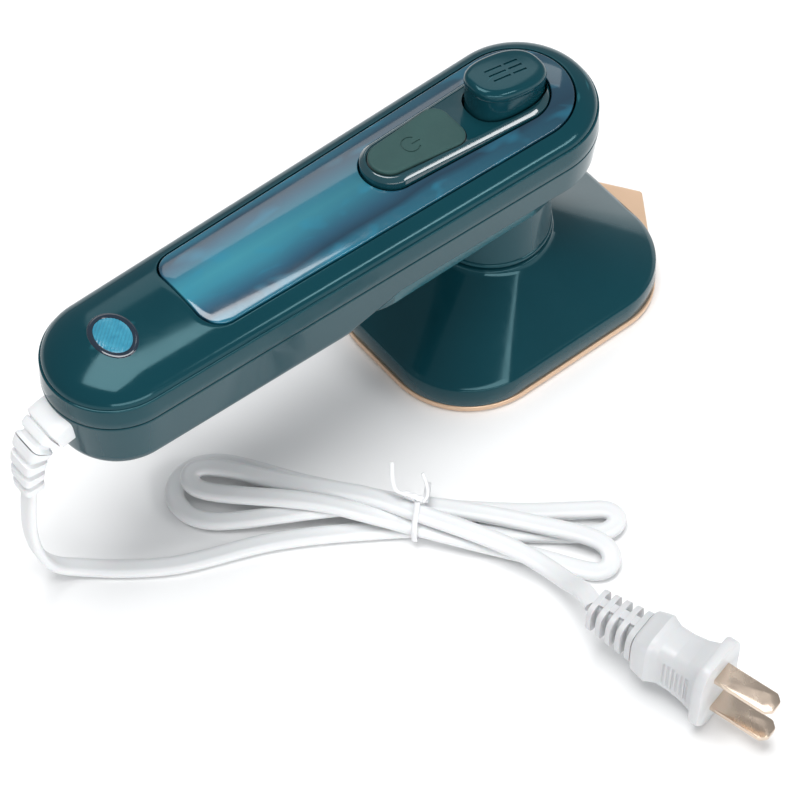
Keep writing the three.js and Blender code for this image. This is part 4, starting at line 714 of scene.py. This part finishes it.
def pad_line(inset):
    """The power pad: round at the rear, wider and square with rounded corners at the front."""
    return outline([(PAD_FRONT_X, -PAD_CORNER_Y, PAD_CORNER_R - inset, -90 - PAD_LEAN, 0, 25),
                    (PAD_FRONT_X, PAD_CORNER_Y, PAD_CORNER_R - inset, 0, 90 + PAD_LEAN, 25),
                    (PAD_REAR_X, 0, PAD_REAR_R - inset, 90 + PAD_LEAN, 270 - PAD_LEAN, 49)], (9, 40, 40))


BUTTON_X, BUTTON_HALF_X, BUTTON_HALF_Y = 3.6, 11.4, 7.4


def button_line(inset):
    """The steam button's plan, a superellipse of power 2.5."""
    line = rounded_loop(BUTTON_HALF_X - inset, BUTTON_HALF_Y - inset, 2.5, 128)[0]
    return line + (BUTTON_X, 0.0)


ABOVE_ALL = 90.0
cut_out(panel, cutter("pad_slot", stacked(*levels(pad_line, (-0.32, CREST_Z - 1.5), (-0.32, ABOVE_ALL)))),
        cutter("button_well", stacked(*levels(button_line, (-0.4, 70), (-0.4, ABOVE_ALL)))))
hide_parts("control_panel")

# ---- Power pad ----
# A matte, slightly soft-touch key in grey green, with a small sunk power sign.
pad_soft = finish("pad_soft", (34, 74, 71), (27, 63, 62), (0.5, 0.62), (120, 500, 9000), 0.35, 0.05,
                  Sheen_Weight=0.15, Specular_IOR_Level=0.35)
PAD_EDGE_R, PAD_TOP = 0.5, 0.6
pad_edge = [(PAD_EDGE_R * (1 - math.cos(a)), 0.2 + PAD_EDGE_R * math.sin(a))
            for a in np.radians(np.linspace(0, 90, 9))]
power_pad = surface("power_key", stacked(
    *laid_on(panel_top, pad_line, (0.1, -1.6), (0.0, -1.5), *pad_edge, (1.2, 0.68), (2.4, 0.62),
             (3.8, PAD_TOP))), "power_pad", pad_soft)
sign_turn = np.radians(np.linspace(40, 320, 40))
SIGN_X, SIGN_R, SIGN_DEPTH = -27.0, 2.4, 0.22
sign_ring = np.stack([SIGN_X + SIGN_R * np.cos(sign_turn), SIGN_R * np.sin(sign_turn)], 1)
sign_bar = np.stack([np.linspace(SIGN_X + 0.4, SIGN_X + 3.0, 8), np.zeros(8)], 1)


def groove(name, line, height, depth, half_width):
    """A closed solid along a line in plan, from `depth` below the given top to above it, to cut a groove."""
    path = raised(line, height(line) - depth + 1.5) * MM
    section = np.array([(-half_width, -1.5), (half_width, -1.5), (half_width, 1.5), (-half_width, 1.5)]) * MM
    return cutter(name, swept(path, section, (0, 0, 1)))


cut_out(power_pad, groove("sign_ring", sign_ring, panel_top, SIGN_DEPTH - PAD_TOP, 0.2),
        groove("sign_bar", sign_bar, panel_top, SIGN_DEPTH - PAD_TOP, 0.2))
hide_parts("power_pad")

# ---- Steam button ----
# A tall oval cap whose top slopes down to the front. Six short grooves in two columns give the thumb
# its hold. It travels straight down into the panel.
BUTTON_TOP_Z = 89.45


def button_top(xy):
    """The cap's sloping top, very slightly crowned."""
    ahead = xy[..., 0] - BUTTON_X
    return BUTTON_TOP_Z - 0.225 * ahead - 0.0022 * ahead**2 - 0.006 * xy[..., 1] ** 2


BUTTON_FOOT_Z, CAP_EDGE_R = 78.8, 1.7
cap_edge = [(CAP_EDGE_R * (1 - math.cos(a)), CAP_EDGE_R * math.sin(a) - CAP_EDGE_R)
            for a in np.radians(np.linspace(0, 90, 12))]
steam_button = surface("steam_key", stacked(
    *levels(button_line, (0.8, BUTTON_FOOT_Z), (0.25, BUTTON_FOOT_Z)),
    *laid_on(button_top, button_line, (0.22, -4.2), (0.2, -3.2), (0.05, -3.0), (0.0, -2.8), *cap_edge,
             (3.0, -0.02), (5.0, -0.05), (6.6, -0.05))), "steam_button", teal_gloss)
GROOVES = [(x, half, y) for x, half in ((1.2, 2.75), (7.0, 2.2)) for y in (-1.9, 0.0, 1.9)]
groove_lines = [np.stack([np.linspace(x - half, x + half, 6), np.full(6, y)], 1) for x, half, y in GROOVES]
cut_out(steam_button, *[groove("grip_groove", line, button_top, 0.34, 0.28) for line in groove_lines])
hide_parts("steam_button")

# ---- Indicator ----
# A clear cyan lens with fine moulded ribs that scatter the lamp's light, held in a dark glossy ring in
# the shell's dome.
LENS_X = -118.4
lens_dark = finish("lens_dark", (16, 40, 58), (8, 26, 40), (0.05, 0.1), (60, 300, 6000), 0.03, 0.01,
                   Coat_Weight=0.8, Coat_Roughness=0.03)
lens_cyan = finish("lens_cyan", (66, 158, 182), (26, 112, 142), (0.12, 0.25), (420, 700, 6000),
                   0.2, 0.02, Coat_Weight=0.5, Coat_Roughness=0.05)


def lens_line(halves):
    """The lens's oval, from its half length and half width."""
    angle = np.linspace(0, 2 * np.pi, 96, endpoint=False)
    return np.stack([LENS_X + halves[0] * np.cos(angle), halves[1] * np.sin(angle)], 1)


OPENING = (5.35, 7.15)
cut_out(upper_shell, cutter("lens_opening", stacked(*levels(lens_line, (OPENING, 70), (OPENING, ABOVE_ALL)))))
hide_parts("handle_upper_shell")
lens_ring = surface("lens_ring", stacked(*laid_on(
    dome, lens_line, ((5.6, 7.4), 0.02), ((5.5, 7.3), 0.16), ((5.3, 7.1), 0.22), ((4.9, 6.55), 0.2),
    ((4.3, 5.8), 0.04), ((4.2, 5.7), -0.3), ((4.2, 5.7), -1.5), ((5.3, 7.1), -1.5), ((5.3, 7.1), -0.1))),
    "handle", lens_dark, loop=True)
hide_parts("indicator_lens")
LENS_HALVES = (4.25, 5.75)
LENS_RIB_WAY, LENS_RIB_PITCH, LENS_RIB_RISE = math.radians(40.0), 0.85, 0.2


def ribbed(xy):
    """The lens's face: the dome with evenly spaced V ribs that run obliquely across it."""
    across_ribs = -(xy[..., 0] - LENS_X) * math.sin(LENS_RIB_WAY) + xy[..., 1] * math.cos(LENS_RIB_WAY)
    return dome(xy) - 0.02 + LENS_RIB_RISE * (np.abs((across_ribs / LENS_RIB_PITCH) % 1.0 - 0.5) * 2 - 0.5)


lens_middle = np.broadcast_to((LENS_X, 0.0), (96, 2))
surface("lens_face", stacked(
    *laid_on(dome, lens_line, (LENS_HALVES, -1.4)),
    between(lens_line(LENS_HALVES), lens_middle, np.linspace(0, 0.99, 60), ribbed)), "handle", lens_cyan)

# ---- Soleplate ----
# A pressed aluminium plate with a rose-gold ceramic coat: a flat face with a pointed nose, softly
# rounded edges and a pattern of steam holes. Screws hold it, the heater block and the cover together.
SOLE_REAR_X, SOLE_TIP_X, SOLE_HALF, SOLE_TOP_Z = -38.2, 56.9, 32.6, 2.3
SOLE_CORNER_R, SHOULDER_R, NOSE_TIP_R, NOSE_SLOPE = 24.5, 20.0, 1.2, 0.69
NOSE_TURN = math.degrees(math.atan2(1, NOSE_SLOPE))
sole_rose = finish("sole_rose", (222, 190, 160), (214, 180, 150), (0.3, 0.38), (20, 90, 6500),
                   0.1, 0.05, Metallic=0.45, Coat_Weight=0.25, Coat_Roughness=0.12)


def sole_line(inset):
    """The sole's outline: rounded rear corners, straight sides, rounded shoulders and a slanted nose."""
    slant = math.hypot(1, NOSE_SLOPE)
    tip = SOLE_TIP_X - NOSE_TIP_R * slant
    shoulder_x = SOLE_TIP_X - NOSE_SLOPE * (SOLE_HALF - SHOULDER_R) - SHOULDER_R * slant
    shoulder_y = SOLE_HALF - SHOULDER_R
    rear_x, rear_y = SOLE_REAR_X + SOLE_CORNER_R, SOLE_HALF - SOLE_CORNER_R
    facing = 90 - NOSE_TURN
    return outline([(shoulder_x, -shoulder_y, SHOULDER_R - inset, -90, -facing, 25),
                    (tip, 0, NOSE_TIP_R - inset, -facing, facing, 13),
                    (shoulder_x, shoulder_y, SHOULDER_R - inset, facing, 90, 25),
                    (rear_x, rear_y, SOLE_CORNER_R - inset, 90, 180, 33),
                    (rear_x, -rear_y, SOLE_CORNER_R - inset, 180, 270, 33)], (12, 12, 30, 20, 30))


def sole_flat(inset, height):
    """The outline drawn in towards its middle by about `inset`, for a ring inside a flat face."""
    middle = np.array([4.0, 0.0])
    return raised(middle + (sole_line(0.9) - middle) * (1 - inset / 35), height)


sole = surface("sole", stacked(
    sole_flat(5.0, 0.0),
    *levels(sole_line, (1.1, 0.0), (0.75, 0.02), (0.5, 0.12), (0.2, 0.38), (0.05, 0.75), (0.0, 1.2),
            (0.0, 1.9), (0.06, 2.12), (0.2, 2.26), (0.5, SOLE_TOP_Z), (0.9, SOLE_TOP_Z)),
    sole_flat(5.0, SOLE_TOP_Z)), "head", sole_rose)
STEAM_HOLES = [(44, 0)] + [(x, y * side) for side in (1, -1)
                           for x, y in ((37, 9), (28, 17), (15, 21), (2, 21), (-11, 21), (-23, 21))]
HOLE_R, SINK_R = 1.25, 1.75
cut_out(sole, *[cutter("steam_hole", disc(x, y, HOLE_R, (-2, 5), 24)) for x, y in STEAM_HOLES],
        *[cutter("hole_sink", disc(x, y, SINK_R, (-1, 0.22), 24)) for x, y in STEAM_HOLES])
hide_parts("soleplate")

# ---- Head cover ----
# The teal cap over the heater: an upright rim, then slopes that gather from the rounded rectangle into
# the round neck. It stands a shadow's width above the soleplate.
COVER_REAR_X, COVER_FRONT_X, COVER_HALF, COVER_CORNER_R = -37.8, 46.0, 32.2, 23.0
COVER_TOP_Z, COVER_TOP_R, COVER_RIM_Z, COVER_FOOT_Z = 32.6, 17.2, 9.2, 2.62


def cover_line(inset):
    """The cover's outline, a rectangle with round corners."""
    rear_x, front_x = COVER_REAR_X + COVER_CORNER_R, COVER_FRONT_X - COVER_CORNER_R
    side_y, radius = COVER_HALF - COVER_CORNER_R, COVER_CORNER_R - inset
    return outline([(front_x, -side_y, radius, -90, 0, 37), (front_x, side_y, radius, 0, 90, 37),
                    (rear_x, side_y, radius, 90, 180, 37), (rear_x, -side_y, radius, 180, 270, 37)],
                   (20, 40, 20, 40))


def neck_line(radius):
    """The neck's circle, each of its points where a straight slope from the cover's outline ends: the
    corners take 62 degrees each and the straight sides share the rest."""
    spans, angle = ((37, 62), (20, 28), (37, 62), (40, 28)), -76.0
    turns = []
    for count, span in spans * 2:
        inner = np.linspace(0, span, count) if count == 37 else np.linspace(0, span, count + 2)[1:-1]
        turns.append(angle + inner)
        angle += span
    turn = np.radians(np.concatenate(turns))
    return np.stack([radius * np.cos(turn), radius * np.sin(turn)], 1)


cover_foot, neck_foot = cover_line(0.75), neck_line(COVER_TOP_R)
SLOPE_LOW_Z, SLOPE_HIGH_Z = COVER_RIM_Z + 0.25, 31.6
slope_rows = [raised(cover_foot * (1 - t) + neck_foot * t, SLOPE_LOW_Z + (SLOPE_HIGH_Z - SLOPE_LOW_Z) * t)
              for t in np.linspace(0, 1, 24)]
cover = surface("cover", stacked(
    *levels(cover_line, (1.6, COVER_FOOT_Z), (0.25, COVER_FOOT_Z), (0.08, 2.7), (0.0, 2.9), (0.3, 8.6),
            (0.36, 8.9), (0.5, 9.1), (0.62, COVER_RIM_Z)), *slope_rows,
    *levels(neck_line, (17.12, 31.95), (16.95, 32.25), (16.65, 32.48), (16.2, COVER_TOP_Z),
            (9.4, COVER_TOP_Z), (9.4, 30.6), (15.0, 30.6)),
    *levels(cover_line, (2.6, 8.2), (2.2, COVER_FOOT_Z))), "head", teal_gloss, loop=True)
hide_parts("head_cover")

# ---- Tank stopper ----
# A soft rubber plug with a dished head and a pull tab across it, pushed up into the filler neck.
rubber_black = finish("rubber_black", (46, 48, 50), (30, 31, 33), (0.6, 0.75), (150, 700, 9000),
                      0.4, 0.1)
stopper = lathe("stopper", [(5.6, 48.9), (5.9, 48.55), (6.5, 48.5), (6.85, 48.62), (7.0, 48.95), (7.0, 50.0),
                            (6.85, 50.3), (6.5, 50.4), (3.72, 50.4), (3.7, 52.2), (3.85, 52.5), (3.7, 52.8),
                            (3.7, 53.6), (3.85, 53.9), (3.7, 54.2), (3.5, 55.4), (3.0, 55.7)],
                "tank_stopper", rubber_black, (FILLER_X, 0.0), 64)


def tab_line(inset):
    return rounded_loop(4.9 - inset, 1.0 - inset, 3.0, 48)[0] + (FILLER_X, 0.0)


surface("pull_tab", stacked(*levels(tab_line, (0.35, 48.5), (0.1, 48.58), (0.0, 48.75), (0.0, 49.3))),
        "tank_stopper", rubber_black)
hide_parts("tank_stopper")

# ---- Screws ----
# Zinc-plated self-tapping screws with a cross recess: two hold the handle's halves, three hold the
# head's cover, block and plate.
steel_plated = finish("steel_plated", (196, 198, 200), (150, 152, 156), (0.22, 0.4),
                      (200, 900, 12000), 0.2, 0.15, Metallic=1.0)


def screw_head(name, x, y, seat, body, node_name):
    """A pan head of radius 2.4 mm, its cross recess cut in from below, in place of its plain solid."""
    head = lathe(name, [(0.9, seat - 1.48), (1.7, seat - 1.42), (2.1, seat - 1.2), (2.34, seat - 0.85),
                        (2.4, seat - 0.4), (2.3, seat), (1.2, seat + 0.02), (1.15, seat + 3.0)], body,
                 steel_plated, (x, y), 48)
    arms = []
    for a, b in ((1.25, 0.3), (0.3, 1.25)):
        arm = np.array([(x - a, y - b), (x + a, y - b), (x + a, y + b), (x - a, y + b)])
        arms.append(cutter("recess", stacked(raised(arm, seat - 3), raised(arm, seat - 0.7))))
    cut_out(head, *arms)
    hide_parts(node_name)


for number, side in ((1, 1), (2, -1)):
    screw_head(f"handle_screw_head_{number}", SCREW_X, side * SCREW_Y, SCREW_SEAT_Z, "handle",
               f"handle_screw_{number}")

# ---- Works inside the handle and the head ----
# The pump, boards, wires, tubes, stem and heater, seen through the gaps and from below. Each keeps its
# own shape and takes the finish of what it is moulded, drawn, cast or plated from.
COIL_TURNS, COIL_R, COIL_WIRE_R, COIL_LOW_Z, COIL_RISE = 3, 3.3, 0.4, 69.3, 2.7
coil_turn = np.linspace(0, COIL_TURNS * 2 * np.pi, 97)
coil_path = np.stack([BUTTON_X + COIL_R * np.cos(coil_turn), COIL_R * np.sin(coil_turn),
                      COIL_LOW_Z + COIL_RISE * coil_turn / coil_turn[-1]], 1) * MM
coil_wire = rounded_loop(COIL_WIRE_R, COIL_WIRE_R, 2.0, 14)[0] * MM
coil = surface("return_coil", swept(coil_path, coil_wire, (0, 0, 1)), "handle", steel_plated)
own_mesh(coil)
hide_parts("button_spring")
nylon_white = finish("nylon_white", (228, 224, 212), (208, 202, 188), (0.4, 0.55), (80, 300, 8000),
                     0.25, 0.05)
board_green = finish("board_green", (40, 108, 66), (28, 84, 50), (0.35, 0.55), (160, 600, 9000),
                     0.3, 0.05)
heater_cast = finish("heater_cast", (184, 186, 188), (140, 142, 146), (0.42, 0.6), (60, 260, 3500),
                     0.6, 0.2, Metallic=0.9)
board_brown = finish("board_brown", (92, 68, 46), (66, 48, 32), (0.6, 0.75), (60, 280, 5000), 0.4, 0.1)
wire_red = finish("wire_red", (168, 52, 42), (140, 38, 32), (0.35, 0.5), (90, 400, 8000), 0.15, 0.04)
wire_blue = finish("wire_blue", (54, 96, 160), (40, 76, 134), (0.35, 0.5), (90, 400, 8000), 0.15, 0.04)
INSIDE = {
    nylon_white: ("pump_body", "pump_piston", "swivel_washer", "water_feed_tube", "pump_outlet_tube",
                  "cord_clamp", "thermal_fuse"),
    board_green: ("control_board", "indicator_board"),
    heater_cast: ("heater_block", "steam_chamber_lid"),
    steel_plated: ("power_switch", "swivel_stem", "swivel_clip", "heating_element", "thermostat",
                   "head_screw_1", "head_screw_2", "head_screw_3"),
    board_brown: ("heat_shield",),
    lens_cyan: ("indicator_led",),
    wire_red: ("wire_live",),
    wire_blue: ("wire_neutral",),
}
for paint, names in INSIDE.items():
    for name in names:
        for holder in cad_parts[name].material_slots:
            holder.material = paint
